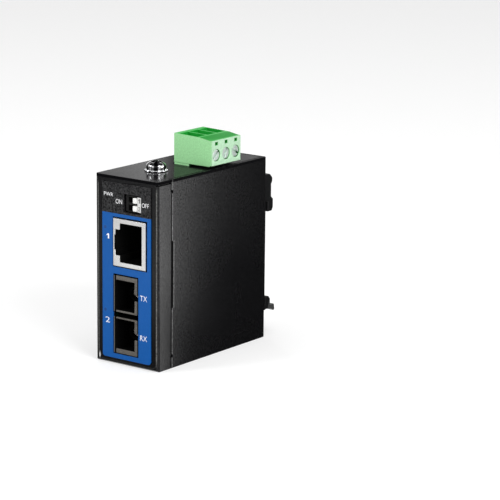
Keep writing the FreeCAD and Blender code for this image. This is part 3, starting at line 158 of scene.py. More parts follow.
def grained(name, colour, size, depth, tint, roughness, spread=0.08, sparkle=False, **settings):
    """A material whose colour, gloss and relief carry the shared grain at its own scale."""
    material, shader = new_material(name, **settings)
    nodes, link = material.node_tree.nodes, material.node_tree.links.new
    grain = nodes.new("ShaderNodeGroup")
    grain.node_tree = GRAIN
    for socket, value in (("Grain Size", size), ("Tint", tint), ("Roughness", roughness),
                          ("Spread", spread)):
        grain.inputs[socket].default_value = value
    shade = nodes.new("ShaderNodeMix")
    shade.data_type = "RGBA"
    shade.blend_type = "MULTIPLY"
    shade.inputs["Factor"].default_value = 1.0
    shade.inputs["A"].default_value = colour
    link(grain.outputs["Tone"], shade.inputs["B"])
    link(shade.outputs["Result"], shader.inputs["Base Color"])
    link(grain.outputs["Roughness"], shader.inputs["Roughness"])
    bump = nodes.new("ShaderNodeBump")
    bump.inputs["Distance"].default_value = depth
    link(grain.outputs["Height"], bump.inputs["Height"])
    link(bump.outputs["Normal"], shader.inputs["Normal"])
    if sparkle:
        gleam = nodes.new("ShaderNodeMath")
        gleam.operation = "MULTIPLY"
        gleam.inputs[1].default_value = 0.5
        link(grain.outputs["Tone"], gleam.inputs[0])
        link(gleam.outputs[0], shader.inputs["Specular IOR Level"])
    return material


def masks_of_the_coat():
    """Where the coat differs: the dull top, the rim under it, a painted highlight line round the front's
    bends and a painted highlight spot at its low left corner.
    """
    group = bpy.data.node_groups.new("Coat Places", "ShaderNodeTree")
    for socket in ("Gloss", "Line Highlight", "Corner Highlight"):
        group.interface.new_socket(socket, in_out="OUTPUT", socket_type="NodeSocketFloat")
    nodes, link = group.nodes, group.links.new
    out, place = nodes.new("NodeGroupOutput"), nodes.new("ShaderNodeTexCoord")
    axes, facing = nodes.new("ShaderNodeSeparateXYZ"), nodes.new("ShaderNodeSeparateXYZ")
    link(place.outputs["Object"], axes.inputs[0])
    link(place.outputs["Normal"], facing.inputs[0])

    def sum_of(operation, *given):
        step = nodes.new("ShaderNodeMath")
        step.operation = operation
        for slot, value in enumerate(given):
            if isinstance(value, (int, float)):
                step.inputs[slot].default_value = value
            else:
                link(value, step.inputs[slot])
        return step.outputs[0]

    def fade(value, start, end):
        step = nodes.new("ShaderNodeMapRange")
        step.inputs["From Min"].default_value = start
        step.inputs["From Max"].default_value = end
        link(value, step.inputs["Value"])
        return step.outputs["Result"]

    level = fade(facing.outputs["Z"], 0.80, 0.97)
    rim_low = CASE_TOP - RIM_DEEP
    rim = sum_of("MULTIPLY", fade(axes.outputs["Z"], rim_low, rim_low + 0.1 * MM),
                 sum_of("SUBTRACT", 1.0, level))
    open_gloss = sum_of("SUBTRACT", 1.0, rim)
    top_gloss = sum_of("SUBTRACT", 1.0, sum_of("MULTIPLY", level, 1.0 - TOP_GLOSS))
    link(sum_of("MULTIPLY", open_gloss, top_gloss), out.inputs["Gloss"])
    away = []
    # Painted highlight: a thin rounded rectangle just inside the front's left, bottom and right edges,
    # where the bends would catch the light.
    for axis, (least, most) in (("X", HIGHLIGHT_PATH_X), ("Z", HIGHLIGHT_PATH_Z)):
        from_middle = sum_of("ABSOLUTE", sum_of("SUBTRACT", axes.outputs[axis], (least + most) / 2))
        away.append(sum_of("SUBTRACT", from_middle, (most - least) / 2 - HIGHLIGHT_PATH_RADIUS))
    outer = [sum_of("MAXIMUM", value, 0.0) for value in away]
    reach = sum_of("SQRT", sum_of("ADD", *[sum_of("MULTIPLY", value, value) for value in outer]))
    inner = sum_of("MINIMUM", sum_of("MAXIMUM", *away), 0.0)
    off = sum_of("ABSOLUTE", sum_of("SUBTRACT", sum_of("ADD", reach, inner), HIGHLIGHT_PATH_RADIUS))
    front = fade(facing.outputs["Y"], -0.5, -0.8)
    upright = sum_of("ADD", 0.15, fade(axes.outputs["Z"], 1.5 * MM, 5 * MM))
    below_top = fade(axes.outputs["Z"], CASE_TOP - 2.0 * MM, CASE_TOP - 3.5 * MM)
    line = sum_of("MULTIPLY", fade(off, HIGHLIGHT_LINE_WIDE, HIGHLIGHT_LINE_WIDE * 0.3), front)
    link(sum_of("MULTIPLY", line, sum_of("MINIMUM", upright, below_top)), out.inputs["Line Highlight"])
    # Painted highlight: a spot at the front's low left corner.
    spot = sum_of("SQRT", sum_of("ADD", *[
        sum_of("POWER", sum_of("MULTIPLY", sum_of("SUBTRACT", axes.outputs[axis], value), narrow), 2.0)
        for axis, value, narrow in CORNER_HIGHLIGHT_SPOT]))
    link(sum_of("MULTIPLY", fade(spot, 0.75 * MM, 0.3 * MM), front), out.inputs["Corner Highlight"])
    return group


CASE_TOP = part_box("chassis")[1].z
RIM_DEEP = 1.0 * MM
TOP_GLOSS = 0.09
# Where the painted highlight line runs on the front, its colour, and the painted highlight spot at the
# low left corner.
HIGHLIGHT_PATH_X = (-11.5 * MM, 12.15 * MM)
HIGHLIGHT_PATH_Z = (1.0 * MM, 66 * MM)
HIGHLIGHT_PATH_RADIUS = 1.6 * MM
HIGHLIGHT_LINE_WIDE = 0.25 * MM
HIGHLIGHT_LINE_GREY = (0.10, 0.10, 0.095, 1)
CORNER_HIGHLIGHT_SPOT = (("X", HIGHLIGHT_PATH_X[0] + 0.4 * MM, 1.9), ("Z", HIGHLIGHT_PATH_Z[0] + 1.05 * MM, 0.55))
COAT_PLACES = masks_of_the_coat()


def placed_coat(material, highlight_line_grey):
    """Let the coat dull on the top, go dark in the rim's shade, and carry the painted highlight line
    round the front's bends and the painted highlight spot at its low left corner.
    """
    nodes, link = material.node_tree.nodes, material.node_tree.links.new
    shader = nodes["Principled BSDF"]
    places = nodes.new("ShaderNodeGroup")
    places.node_tree = COAT_PLACES
    gleam = shader.inputs["Specular IOR Level"].links[0].from_socket
    dulled = nodes.new("ShaderNodeMath")
    dulled.operation = "MULTIPLY"
    link(gleam, dulled.inputs[0])
    link(places.outputs["Gloss"], dulled.inputs[1])
    link(dulled.outputs[0], shader.inputs["Specular IOR Level"])
    # Painted highlight: the coat's colour is mixed toward a light grey along the line.
    painted_highlight = nodes.new("ShaderNodeMix")
    painted_highlight.data_type = "RGBA"
    shade = next(node for node in nodes if node.type == "MIX" and node.blend_type == "MULTIPLY")
    painted_highlight.inputs["A"].default_value = shade.inputs["A"].default_value
    painted_highlight.inputs["B"].default_value = highlight_line_grey
    link(places.outputs["Line Highlight"], painted_highlight.inputs["Factor"])
    # Painted highlight: the coat's colour is mixed toward mid grey at the corner spot.
    lit = nodes.new("ShaderNodeMix")
    lit.data_type = "RGBA"
    lit.inputs["B"].default_value = (0.5, 0.5, 0.5, 1)
    link(places.outputs["Corner Highlight"], lit.inputs["Factor"])
    link(painted_highlight.outputs["Result"], lit.inputs["A"])
    link(lit.outputs["Result"], shade.inputs["A"])


case_coat = grained("case coat", COAT_BLACK, 0.46 * MM, 0.006 * MM, 0.6, 0.16, 0.04, True, IOR=1.36)
placed_coat(case_coat, HIGHLIGHT_LINE_GREY)
finish(edged("chassis_sheet", "chassis", EDGE_BREAK), case_coat, "case")

# ------------------------------------------------------------------ cover
# The right side and the rear are a second folded sheet with the same coat, held by two
# screws through the rear. A fine painted highlight line runs beside the seam, round the pry gap.
SIDE_BLACK = (0.005, 0.005, 0.0055, 1)
side_coat = grained("side coat", SIDE_BLACK, 0.58 * MM, 0.02 * MM, 0.85, 0.27, 0.08, True, IOR=1.36)
placed_coat(side_coat, SIDE_BLACK)
SEAM_LINE = -21.2 * MM
PRY_GAP = 0.75 * MM
PRY_GAP_HALF = 10.9 * MM
nodes, link = side_coat.node_tree.nodes, side_coat.node_tree.links.new
place = nodes.new("ShaderNodeTexCoord")
axes, facing = nodes.new("ShaderNodeSeparateXYZ"), nodes.new("ShaderNodeSeparateXYZ")
link(place.outputs["Object"], axes.inputs[0])
link(place.outputs["Normal"], facing.inputs[0])
in_gap = nodes.new("ShaderNodeMath")
in_gap.operation = "COMPARE"
in_gap.inputs[1].default_value = CASE_TOP / 2
in_gap.inputs[2].default_value = PRY_GAP_HALF
link(axes.outputs["Z"], in_gap.inputs[0])
line_at = nodes.new("ShaderNodeMath")
line_at.operation = "MULTIPLY_ADD"
line_at.inputs[1].default_value = PRY_GAP
line_at.inputs[2].default_value = SEAM_LINE
link(in_gap.outputs[0], line_at.inputs[0])
from_line = nodes.new("ShaderNodeMath")
from_line.operation = "SUBTRACT"
link(axes.outputs["Y"], from_line.inputs[0])
link(line_at.outputs[0], from_line.inputs[1])
off_line = nodes.new("ShaderNodeMath")
off_line.operation = "ABSOLUTE"
link(from_line.outputs[0], off_line.inputs[0])
beside_seam = nodes.new("ShaderNodeMapRange")
beside_seam.inputs["From Min"].default_value = 0.26 * MM
beside_seam.inputs["From Max"].default_value = 0.12 * MM
link(off_line.outputs[0], beside_seam.inputs["Value"])
outer_face = nodes.new("ShaderNodeMath")
outer_face.operation = "GREATER_THAN"
outer_face.inputs[1].default_value = 0.6
link(facing.outputs["X"], outer_face.inputs[0])
seam_highlight_mask = nodes.new("ShaderNodeMath")
seam_highlight_mask.operation = "MULTIPLY"
link(beside_seam.outputs["Result"], seam_highlight_mask.inputs[0])
link(outer_face.outputs[0], seam_highlight_mask.inputs[1])
shade = next(node for node in nodes if node.type == "MIX" and node.blend_type == "MULTIPLY")
# Painted highlight: the coat is mixed toward light grey on the outer face beside the seam.
edge_lit = nodes.new("ShaderNodeMix")
edge_lit.data_type = "RGBA"
edge_lit.inputs["B"].default_value = (0.085, 0.085, 0.085, 1)
link(shade.inputs["A"].links[0].from_socket, edge_lit.inputs["A"])
link(seam_highlight_mask.outputs[0], edge_lit.inputs["Factor"])
link(edge_lit.outputs["Result"], shade.inputs["A"])
finish(edged("cover_sheet", "cover", EDGE_BREAK), side_coat, "case")

zinc = grained("bright zinc", (0.62, 0.63, 0.64, 1), 0.3 * MM, 0.004 * MM, 0.08, 0.28, Metallic=1.0)
for node in ("cover_screws", "clip_screws", "clip_nuts", "earth_nut", "board_screws",
             "board_standoffs"):
    finish(edged(node + "_turned", node, 0.08 * MM), zinc, "case")

# ------------------------------------------------------------------ front label
# A thick polycarbonate overlay, printed on its back: a blue field round the ports and a
# black grained field round the switch, with the marks in white.
LABEL_FIELD_TOP = 49.4 * MM
LABEL_BLUE = (0.003, 0.085, 0.330, 1)
LABEL_BLACK = (0.018, 0.018, 0.019, 1)
label_print, label_shader = new_material("label print", Roughness=0.34, IOR=1.27)
nodes, link = label_print.node_tree.nodes, label_print.node_tree.links.new
place = nodes.new("ShaderNodeTexCoord")
axes = nodes.new("ShaderNodeSeparateXYZ")
link(place.outputs["Object"], axes.inputs[0])
upper = nodes.new("ShaderNodeMath")
upper.operation = "GREATER_THAN"
upper.inputs[1].default_value = LABEL_FIELD_TOP
link(axes.outputs["Z"], upper.inputs[0])
fields = nodes.new("ShaderNodeMix")
fields.data_type = "RGBA"
fields.inputs["A"].default_value = LABEL_BLUE
fields.inputs["B"].default_value = LABEL_BLACK
link(upper.outputs[0], fields.inputs["Factor"])
grain = nodes.new("ShaderNodeGroup")
grain.node_tree = GRAIN
grain.inputs["Grain Size"].default_value = 0.60 * MM
tint = nodes.new("ShaderNodeMapRange")
tint.inputs["To Min"].default_value = 0.04
tint.inputs["To Max"].default_value = 1.0
link(upper.outputs[0], tint.inputs["Value"])
link(tint.outputs["Result"], grain.inputs["Tint"])
speckled = nodes.new("ShaderNodeMix")
speckled.data_type = "RGBA"
speckled.blend_type = "MULTIPLY"
speckled.inputs["Factor"].default_value = 1.0
link(fields.outputs["Result"], speckled.inputs["A"])
link(grain.outputs["Tone"], speckled.inputs["B"])
link(speckled.outputs["Result"], label_shader.inputs["Base Color"])
relief = nodes.new("ShaderNodeBump")
relief.inputs["Distance"].default_value = 0.015 * MM
link(grain.outputs["Height"], relief.inputs["Height"])
link(relief.outputs["Normal"], label_shader.inputs["Normal"])
gleam = nodes.new("ShaderNodeMath")
gleam.operation = "MULTIPLY"
gleam.inputs[1].default_value = 0.5
link(grain.outputs["Tone"], gleam.inputs[0])
link(gleam.outputs[0], label_shader.inputs["Specular IOR Level"])
label = edged("printed_label", "front_label", 0.08 * MM)
CORNER_WAS, CORNER_NOW = 1.6 * MM, 1.0 * MM
low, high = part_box("front_label")
for side, edge in ((1, low.x), (-1, high.x)):
    for vertex in label.data.vertices:
        across = (vertex.co.x - edge) * side - CORNER_WAS
        along = vertex.co.z - low.z - CORNER_WAS
        if across < 1e-6 and along < 1e-6:
            away = Vector((across, along)).normalized() * CORNER_NOW
            vertex.co.x = edge + side * (CORNER_NOW + away.x)
            vertex.co.z = low.z + CORNER_NOW + away.y
finish(label, label_print, "case")

# ------------------------------------------------------------------ printed marks
# Screen-printed white ink on the label: the light's, port's and switch's functions. Each
# mark is a thin letterform with its own middle, width and height on the label's face.
label_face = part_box("front_label")[0].y
MARKS = [("PWR", -6.9, 55.3, 3.75, 1.15), ("ON", -2.65, 53.4, 2.6, 1.45), ("OFF", 8.1, 53.4, 2.8, 1.4),
         ("1", -7.25, 41.7, 1.05, 1.65), ("2", -7.4, 14.3, 1.75, 1.75), ("TX", 7.35, 23.4, 2.8, 1.7),
         ("RX", 7.35, 10.4, 2.8, 1.7)]
FLAGGED_ONE = ((0.54, 0), (1, 0), (1, 1.6), (0.62, 1.6), (0, 1.25), (0, 0.95), (0.54, 1.2))
THIN_STROKE, BOLD_STROKE = -0.009, 0.01
INK_FILM = 0.004
white_ink = grained("white ink", (0.93, 0.93, 0.95, 1), 0.2 * MM, 0.002 * MM, 0.03, 0.5)


def mark(text, x, z, wide, tall, y, ink, name, stroke=THIN_STROKE):
    """One printed word, stretched to its width and height and laid flat on a face."""
    if text == "1":
        letters = bpy.data.meshes.new(name)
        letters.from_pydata([(across, up, 0) for across, up in FLAGGED_ONE], [],
                            [tuple(range(len(FLAGGED_ONE)))])
    else:
        letters = bpy.data.curves.new(name, "FONT")
        letters.body = text
        letters.offset = stroke
        letters.extrude = INK_FILM
    piece = bpy.data.objects.new(name, letters)
    bpy.context.scene.collection.objects.link(piece)
    bpy.context.view_layer.update()
    corners = [Vector(corner) for corner in piece.bound_box]
    low = Vector(min(c[i] for c in corners) for i in range(3))
    high = Vector(max(c[i] for c in corners) for i in range(3))
    size = high - low
    middle = (low + high) / 2
    scale = Matrix.Diagonal((wide * MM / size.x, tall * MM / size.y, 1 * MM, 1))
    upright = Matrix.Rotation(math.radians(90), 4, "X")
    piece.matrix_world = (Matrix.Translation((x * MM, y, z * MM)) @ upright @ scale
                          @ Matrix.Translation(-middle))
    return finish(piece, ink, "case")


for text, x, z, wide, tall in MARKS:
    mark(text, x, z, wide, tall, label_face - 0.002 * MM, white_ink, f"mark_{text.lower()}")

# ------------------------------------------------------------------ status lights
# Clear-lensed lights on the board behind the label, which has a small round dimple in the
# film over each, a little off its field's colour.
DIMPLE_RADIUS = 0.55 * MM
lens_clear = grained("light lens", (0.30, 0.34, 0.30, 1), 0.5 * MM, 0.002 * MM, 0.05, 0.2, IOR=1.5)
dimple_black = grained("dimple on black", (0.026, 0.026, 0.027, 1), 0.2 * MM, 0.004 * MM, 0.2, 0.25)
dimple_blue = grained("dimple on blue", (0.003, 0.055, 0.22, 1), 0.2 * MM, 0.004 * MM, 0.05, 0.25)
for node, film in (("power_light", dimple_black), ("port_1_light", dimple_blue),
                   ("port_2_light", dimple_blue)):
    low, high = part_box(node)
    finish(edged(node + "_lens", node, 0.06 * MM), lens_clear, "case")
    ring = bmesh.new()
    bmesh.ops.create_circle(ring, cap_ends=True, segments=32, radius=DIMPLE_RADIUS)
    dimple = bpy.data.objects.new(node + "_dimple", bpy.data.meshes.new(node + "_dimple"))
    ring.to_mesh(dimple.data)
    ring.free()
    bpy.context.scene.collection.objects.link(dimple)
    dimple.rotation_euler = (math.radians(90), 0, 0)
    dimple.location = ((low.x + high.x) / 2, label_face - 0.001 * MM, (low.z + high.z) / 2)
    finish(dimple, film, "case")

# ------------------------------------------------------------------ circuit board
# Green solder-masked glass board on four zinc-plated standoffs, with an insulating sheet
# behind it and soldered packages on its right face.
board_mask = grained("solder mask", (0.012, 0.10, 0.035, 1), 0.6 * MM, 0.006 * MM, 0.25, 0.3)
film = grained("polyester film", (0.55, 0.53, 0.44, 1), 0.8 * MM, 0.004 * MM, 0.06, 0.35)
package = grained("moulded package", (0.018, 0.018, 0.019, 1), 0.12 * MM, 0.008 * MM, 0.25, 0.55)
tinned = grained("tinned lead", (0.70, 0.70, 0.68, 1), 0.3 * MM, 0.003 * MM, 0.08, 0.3, Metallic=1.0)
BOARD_PIECES = [("circuit_board", board_mask, "board"), ("driver_board", board_mask, "board"),
                ("insulating_sheet", film, "liner"), ("lan_transformer", package, "chip_moulding"),
                ("converter_chip", package, "chip_moulding"), ("memory_chip", package, "chip_moulding"),
                ("power_inductor", package, "chip_moulding"), ("fuse", package, "chip_moulding"),
                ("crystal", zinc, "steel"), ("capacitors", zinc, "steel"),
                ("header_pins", tinned, "tin_lead"), ("transceiver_pins", tinned, "tin_lead"),
                ("switch_leads", tinned, "tin_lead")]
for node, material, slot in BOARD_PIECES:
    finish(edged(node + "_part", node, 0.06 * MM), material, "case")

# ------------------------------------------------------------------ copper jack
# A folded tin-plated shield round a black moulded insert, with eight gold-flashed spring
# wires. The shield's front rim frames the keyed mouth.
shield_plate = grained("shield plate", (0.80, 0.80, 0.79, 1), 0.5 * MM, 0.004 * MM, 0.04, 0.27,
                       Metallic=1.0)
black_moulding = grained("black moulding", (0.004, 0.004, 0.004, 1), 0.15 * MM, 0.006 * MM, 0.2, 0.6,
                         IOR=1.12)
gold = grained("gold flash", (0.83, 0.60, 0.24, 1), 0.3 * MM, 0.002 * MM, 0.04, 0.25, Metallic=1.0)
finish(edged("jack_shell", "jack_shield", 0.10 * MM), shield_plate, "case")
finish(edged("jack_housing", "jack_insert", 0.08 * MM), black_moulding, "case")
finish(edged("jack_wires", "jack_contacts", 0.05 * MM), gold, "case")

# ------------------------------------------------------------------ fibre transceiver
# A duplex receptacle moulded in grey-black resin, with split ceramic sleeves in its two
# barrels, and a cast metal cover over two gold-plated cans behind it.
# The receptacle's colour is painted light and shade: near black all over, darker than its resin, as
# shade in the barrels, and a painted grey highlight on its front faces except for a strip near the left
# wall.
PORT_SHADE_BLACK = (0.003, 0.003, 0.003, 1)
RIM_HIGHLIGHT_GREY = (0.085, 0.078, 0.068, 1)
nose_resin = grained("receptacle resin", (0.014, 0.013, 0.012, 1), 0.3 * MM, 0.008 * MM, 0.5, 0.45)
cast_metal = grained("cast cover", (0.55, 0.55, 0.54, 1), 0.25 * MM, 0.01 * MM, 0.12, 0.38, Metallic=1.0)
zirconia = grained("zirconia", (0.60, 0.58, 0.54, 1), 0.4 * MM, 0.001 * MM, 0.03, 0.3)
nodes, link = nose_resin.node_tree.nodes, nose_resin.node_tree.links.new
place = nodes.new("ShaderNodeTexCoord")
axes = nodes.new("ShaderNodeSeparateXYZ")
link(place.outputs["Object"], axes.inputs[0])
low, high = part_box("transceiver_nose")
rim = nodes.new("ShaderNodeMapRange")
rim.inputs["From Min"].default_value = low.y + 0.42 * MM
rim.inputs["From Max"].default_value = low.y + 0.2 * MM
link(axes.outputs["Y"], rim.inputs["Value"])
# Painted highlight: grey is mixed in on the front faces.
painted_highlight = nodes.new("ShaderNodeMix")
painted_highlight.data_type = "RGBA"
painted_highlight.inputs["A"].default_value = PORT_SHADE_BLACK
painted_highlight.inputs["B"].default_value = RIM_HIGHLIGHT_GREY
left_wall = nodes.new("ShaderNodeMapRange")
left_wall.inputs["From Min"].default_value = low.x + 0.45 * MM
left_wall.inputs["From Max"].default_value = low.x + 0.35 * MM
link(axes.outputs["X"], left_wall.inputs["Value"])
right_part = nodes.new("ShaderNodeMapRange")
right_part.inputs["From Min"].default_value = low.x + 1.0 * MM
right_part.inputs["From Max"].default_value = low.x + 1.1 * MM
link(axes.outputs["X"], right_part.inputs["Value"])
both = nodes.new("ShaderNodeMath")
both.operation = "MAXIMUM"
link(left_wall.outputs["Result"], both.inputs[0])
link(right_part.outputs["Result"], both.inputs[1])
bright = nodes.new("ShaderNodeMath")
bright.operation = "MULTIPLY"
link(rim.outputs["Result"], bright.inputs[0])
link(both.outputs[0], bright.inputs[1])
link(bright.outputs[0], painted_highlight.inputs["Factor"])
gleam = nodes.new("ShaderNodeMath")
gleam.operation = "MULTIPLY"
gleam.inputs[1].default_value = 0.5
link(bright.outputs[0], gleam.inputs[0])
link(gleam.outputs[0], nose_resin.node_tree.nodes["Principled BSDF"].inputs["Specular IOR Level"])
shade = next(node for node in nodes if node.type == "MIX" and node.blend_type == "MULTIPLY")
link(painted_highlight.outputs["Result"], shade.inputs["A"])
finish(edged("duplex_nose", "transceiver_nose", 0.18 * MM, 3), nose_resin, "case")
finish(edged("split_sleeves", "ferrule_sleeves", 0.06 * MM), zirconia, "case")
finish(edged("transceiver_cover", "transceiver_body", 0.15 * MM), cast_metal, "case")
for node in ("laser_can", "photodiode_can"):
    finish(edged(node + "_cap", node, 0.12 * MM), gold, "case")

# ------------------------------------------------------------------ two-way switch
# A black moulded block in the front window. A white printed strip at its right numbers the
# two levers, which are white and slide left from there.
STRIP_WIDE = 1.45 * MM
STRIP_THICK = 0.06 * MM
STRIP_TALL = 0.92
lever_white = grained("lever white", (0.80, 0.80, 0.78, 1), 0.3 * MM, 0.003 * MM, 0.03, 0.4)
strip_white = grained("printed strip", (0.74, 0.74, 0.73, 1), 0.3 * MM, 0.002 * MM, 0.03, 0.5)
black_ink = grained("black ink", (0.012, 0.012, 0.012, 1), 0.2 * MM, 0.001 * MM, 0.05, 0.5)
switch_resin = grained("switch resin", (0.003, 0.003, 0.003, 1), 0.2 * MM, 0.004 * MM, 0.1, 0.6, IOR=1.3)
finish(edged("switch_block", "switch_body", 0.10 * MM), switch_resin, "case")
for number in "12":
    lever = edged(f"lever_knob_{number}", f"switch_lever_{number}", 0.10 * MM)
    finish(lever, lever_white, f"lever_{number}")
low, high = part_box("switch_body")
strip_mesh = bmesh.new()
bmesh.ops.create_cube(strip_mesh, size=1.0)
bmesh.ops.scale(strip_mesh, verts=strip_mesh.verts,
                vec=(STRIP_WIDE, STRIP_THICK, (high.z - low.z) * STRIP_TALL))
bmesh.ops.bevel(strip_mesh, geom=strip_mesh.edges, offset=0.02 * MM, segments=2, affect="EDGES")
strip = bpy.data.objects.new("number_strip", bpy.data.meshes.new("number_strip"))
strip_mesh.to_mesh(strip.data)
strip_mesh.free()
bpy.context.scene.collection.objects.link(strip)
strip.location = (high.x - STRIP_WIDE / 2 - 0.1 * MM, low.y - STRIP_THICK / 2, (low.z + high.z) / 2)
finish(strip, strip_white, "case")
for number in "12":
    lever_low, lever_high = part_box(f"switch_lever_{number}")
    middle = (lever_low.z + lever_high.z) / 2
    mark(number, (high.x - 0.8 * MM) / MM, middle / MM, 0.75, 1.35, low.y - STRIP_THICK - 0.002 * MM,
         black_ink, f"strip_number_{number}", BOLD_STROKE)

# ------------------------------------------------------------------ power terminal
# A pluggable three-pole terminal in green nylon. The plug lifts off its header; each pole
# has a wire entry in the top, and a slotted screw that draws a cage toward the right side.
# The nylon is one green, painted as lit and shaded copies of it: a darker top, lighter level tops, a
# pale sheen on the outer sides, paler still on the right face where the light falls, and painted shade
# deep in the wire entries.
TOP_SHADED_GREEN = (0.010, 0.27, 0.028, 1)
LEVEL_LIT_GREEN = (0.095, 0.50, 0.125, 1)
SIDE_SHEEN_GREEN = (0.31, 0.64, 0.31, 1)
RIGHT_LIT_GREEN = (0.42, 0.64, 0.44, 1)
PIT_SHADE_GREEN = (0.006, 0.09, 0.015, 1)
PIT_SHADE_BELOW = 67.5 * MM
SHEEN_BAND = 0.3 * MM
nylon = grained("green nylon", SIDE_SHEEN_GREEN, 0.5 * MM, 0.01 * MM, 0.12, 0.38, IOR=1.2)
nodes, link = nylon.node_tree.nodes, nylon.node_tree.links.new
place = nodes.new("ShaderNodeTexCoord")
axes = nodes.new("ShaderNodeSeparateXYZ")
link(place.outputs["Object"], axes.inputs[0])
facing = nodes.new("ShaderNodeSeparateXYZ")
link(place.outputs["Normal"], facing.inputs[0])
low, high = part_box("terminal_plug")
outer_sheen = None
for axis in ("X", "Y"):
    half = (getattr(high, axis.lower()) - getattr(low, axis.lower())) / 2
    from_middle = nodes.new("ShaderNodeMath")
    from_middle.operation = "SUBTRACT"
    from_middle.inputs[1].default_value = getattr(low, axis.lower()) + half
    link(axes.outputs[axis], from_middle.inputs[0])
    away = nodes.new("ShaderNodeMath")
    away.operation = "ABSOLUTE"
    link(from_middle.outputs[0], away.inputs[0])
    outer = nodes.new("ShaderNodeMapRange")
    outer.inputs["From Min"].default_value = half - SHEEN_BAND
    outer.inputs["From Max"].default_value = half - SHEEN_BAND / 2
    link(away.outputs[0], outer.inputs["Value"])
    if outer_sheen is None:
        outer_sheen = outer.outputs["Result"]
    else:
        either = nodes.new("ShaderNodeMath")
        either.operation = "MAXIMUM"
        link(outer_sheen, either.inputs[0])
        link(outer.outputs["Result"], either.inputs[1])
        outer_sheen = either.outputs[0]
# Painted sheen: faces in the outer band that don't face up take the pale side green.
level_face = nodes.new("ShaderNodeMapRange")
level_face.inputs["From Min"].default_value = 0.95
level_face.inputs["From Max"].default_value = 0.60
link(facing.outputs["Z"], level_face.inputs["Value"])
pale_sheen = nodes.new("ShaderNodeMath")
pale_sheen.operation = "MULTIPLY"
link(outer_sheen, pale_sheen.inputs[0])
link(level_face.outputs["Result"], pale_sheen.inputs[1])
greens = nodes.new("ShaderNodeMix")
greens.data_type = "RGBA"
link(pale_sheen.outputs[0], greens.inputs["Factor"])
# Painted light: level faces that face up are lighter than the shaded top.
level_top = nodes.new("ShaderNodeMapRange")
level_top.inputs["From Min"].default_value = 0.991
level_top.inputs["From Max"].default_value = 0.997
link(facing.outputs["Z"], level_top.inputs["Value"])
upper = nodes.new("ShaderNodeMix")
upper.data_type = "RGBA"
upper.inputs["A"].default_value = TOP_SHADED_GREEN
upper.inputs["B"].default_value = LEVEL_LIT_GREEN
link(level_top.outputs["Result"], upper.inputs["Factor"])
# Painted shade below the wire entries' mouths, and painted light on faces toward the right.
for part, start, end, mask, first, second in (
        ("A", PIT_SHADE_BELOW + 0.1 * MM, PIT_SHADE_BELOW, axes.outputs["Z"], None, PIT_SHADE_GREEN),
        ("B", 0.5, 0.9, facing.outputs["X"], SIDE_SHEEN_GREEN, RIGHT_LIT_GREEN)):
    step = nodes.new("ShaderNodeMapRange")
    step.inputs["From Min"].default_value = start
    step.inputs["From Max"].default_value = end
    link(mask, step.inputs["Value"])
    pair = nodes.new("ShaderNodeMix")
    pair.data_type = "RGBA"
    if first is None:
        link(upper.outputs["Result"], pair.inputs["A"])
    else:
        pair.inputs["A"].default_value = first
    pair.inputs["B"].default_value = second
    link(step.outputs["Result"], pair.inputs["Factor"])
    link(pair.outputs["Result"], greens.inputs[part])
shade = next(node for node in nodes if node.type == "MIX" and node.blend_type == "MULTIPLY")
link(greens.outputs["Result"], shade.inputs["A"])
nickel = grained("nickel plate", (0.70, 0.80, 0.74, 1), 0.3 * MM, 0.002 * MM, 0.04, 0.28, Metallic=0.6)
finish(edged("plug_moulding", "terminal_plug", 0.10 * MM), nylon, "plug")
finish(edged("header_moulding", "terminal_header", 0.12 * MM), nylon, "case")
finish(edged("fork_contacts", "plug_contacts", 0.05 * MM), tinned, "plug")
SLOT_TURNS = {"1": -50, "2": -30, "3": 60}
for number, turn in SLOT_TURNS.items():
    screw = edged(f"pole_screw_{number}", f"clamp_screw_{number}", 0.12 * MM, 3)
    low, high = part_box(f"clamp_screw_{number}")
    axis = Matrix.Translation((low + high) / 2)
    screw.data.transform(axis @ Matrix.Rotation(math.radians(turn), 4, "X") @ axis.inverted())
    finish(screw, nickel, f"clamp_screw_{number}")
    finish(edged(f"pole_cage_{number}", f"clamp_cage_{number}", 0.10 * MM), nickel,
           f"clamp_cage_{number}")

# ------------------------------------------------------------------ earth screw
# A chromed pan-head screw with a cross recess and a captive toothed washer that bites
# through the coat on the top.
# The head's colour is painted reflection and shade: a near black middle for the dome's dark reflection
# and the cross recess's shade, and dark and bright bands round it by direction toward the front.
DARK_MIDDLE_RADIUS = 1.75 * MM
CHROME = (0.80, 0.81, 0.82, 1)
SHADE_AND_REFLECTION_BLACK = (0.01, 0.01, 0.01, 1)
chrome = grained("chrome plate", CHROME, 0.4 * MM, 0.003 * MM, 0.04, 0.12, Metallic=1.0)
head_chrome = grained("chrome head", CHROME, 0.4 * MM, 0.003 * MM, 0.04, 0.12, Metallic=1.0)
low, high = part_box("earth_screw")
nodes, link = head_chrome.node_tree.nodes, head_chrome.node_tree.links.new
place = nodes.new("ShaderNodeTexCoord")
centred = nodes.new("ShaderNodeVectorMath")
centred.operation = "SUBTRACT"
centred.inputs[1].default_value = ((low.x + high.x) / 2, (low.y + high.y) / 2, 0)
link(place.outputs["Object"], centred.inputs[0])
flat = nodes.new("ShaderNodeVectorMath")
flat.operation = "MULTIPLY"
flat.inputs[1].default_value = (1, 1, 0)
link(centred.outputs[0], flat.inputs[0])
radius = nodes.new("ShaderNodeVectorMath")
radius.operation = "LENGTH"
link(flat.outputs[0], radius.inputs[0])
dark_middle = nodes.new("ShaderNodeMapRange")
dark_middle.inputs["From Min"].default_value = DARK_MIDDLE_RADIUS - 0.1 * MM
dark_middle.inputs["From Max"].default_value = DARK_MIDDLE_RADIUS
dark_middle.inputs["To Min"].default_value = 0.03
link(radius.outputs["Value"], dark_middle.inputs["Value"])
outward = nodes.new("ShaderNodeVectorMath")
outward.operation = "NORMALIZE"
link(flat.outputs[0], outward.inputs[0])
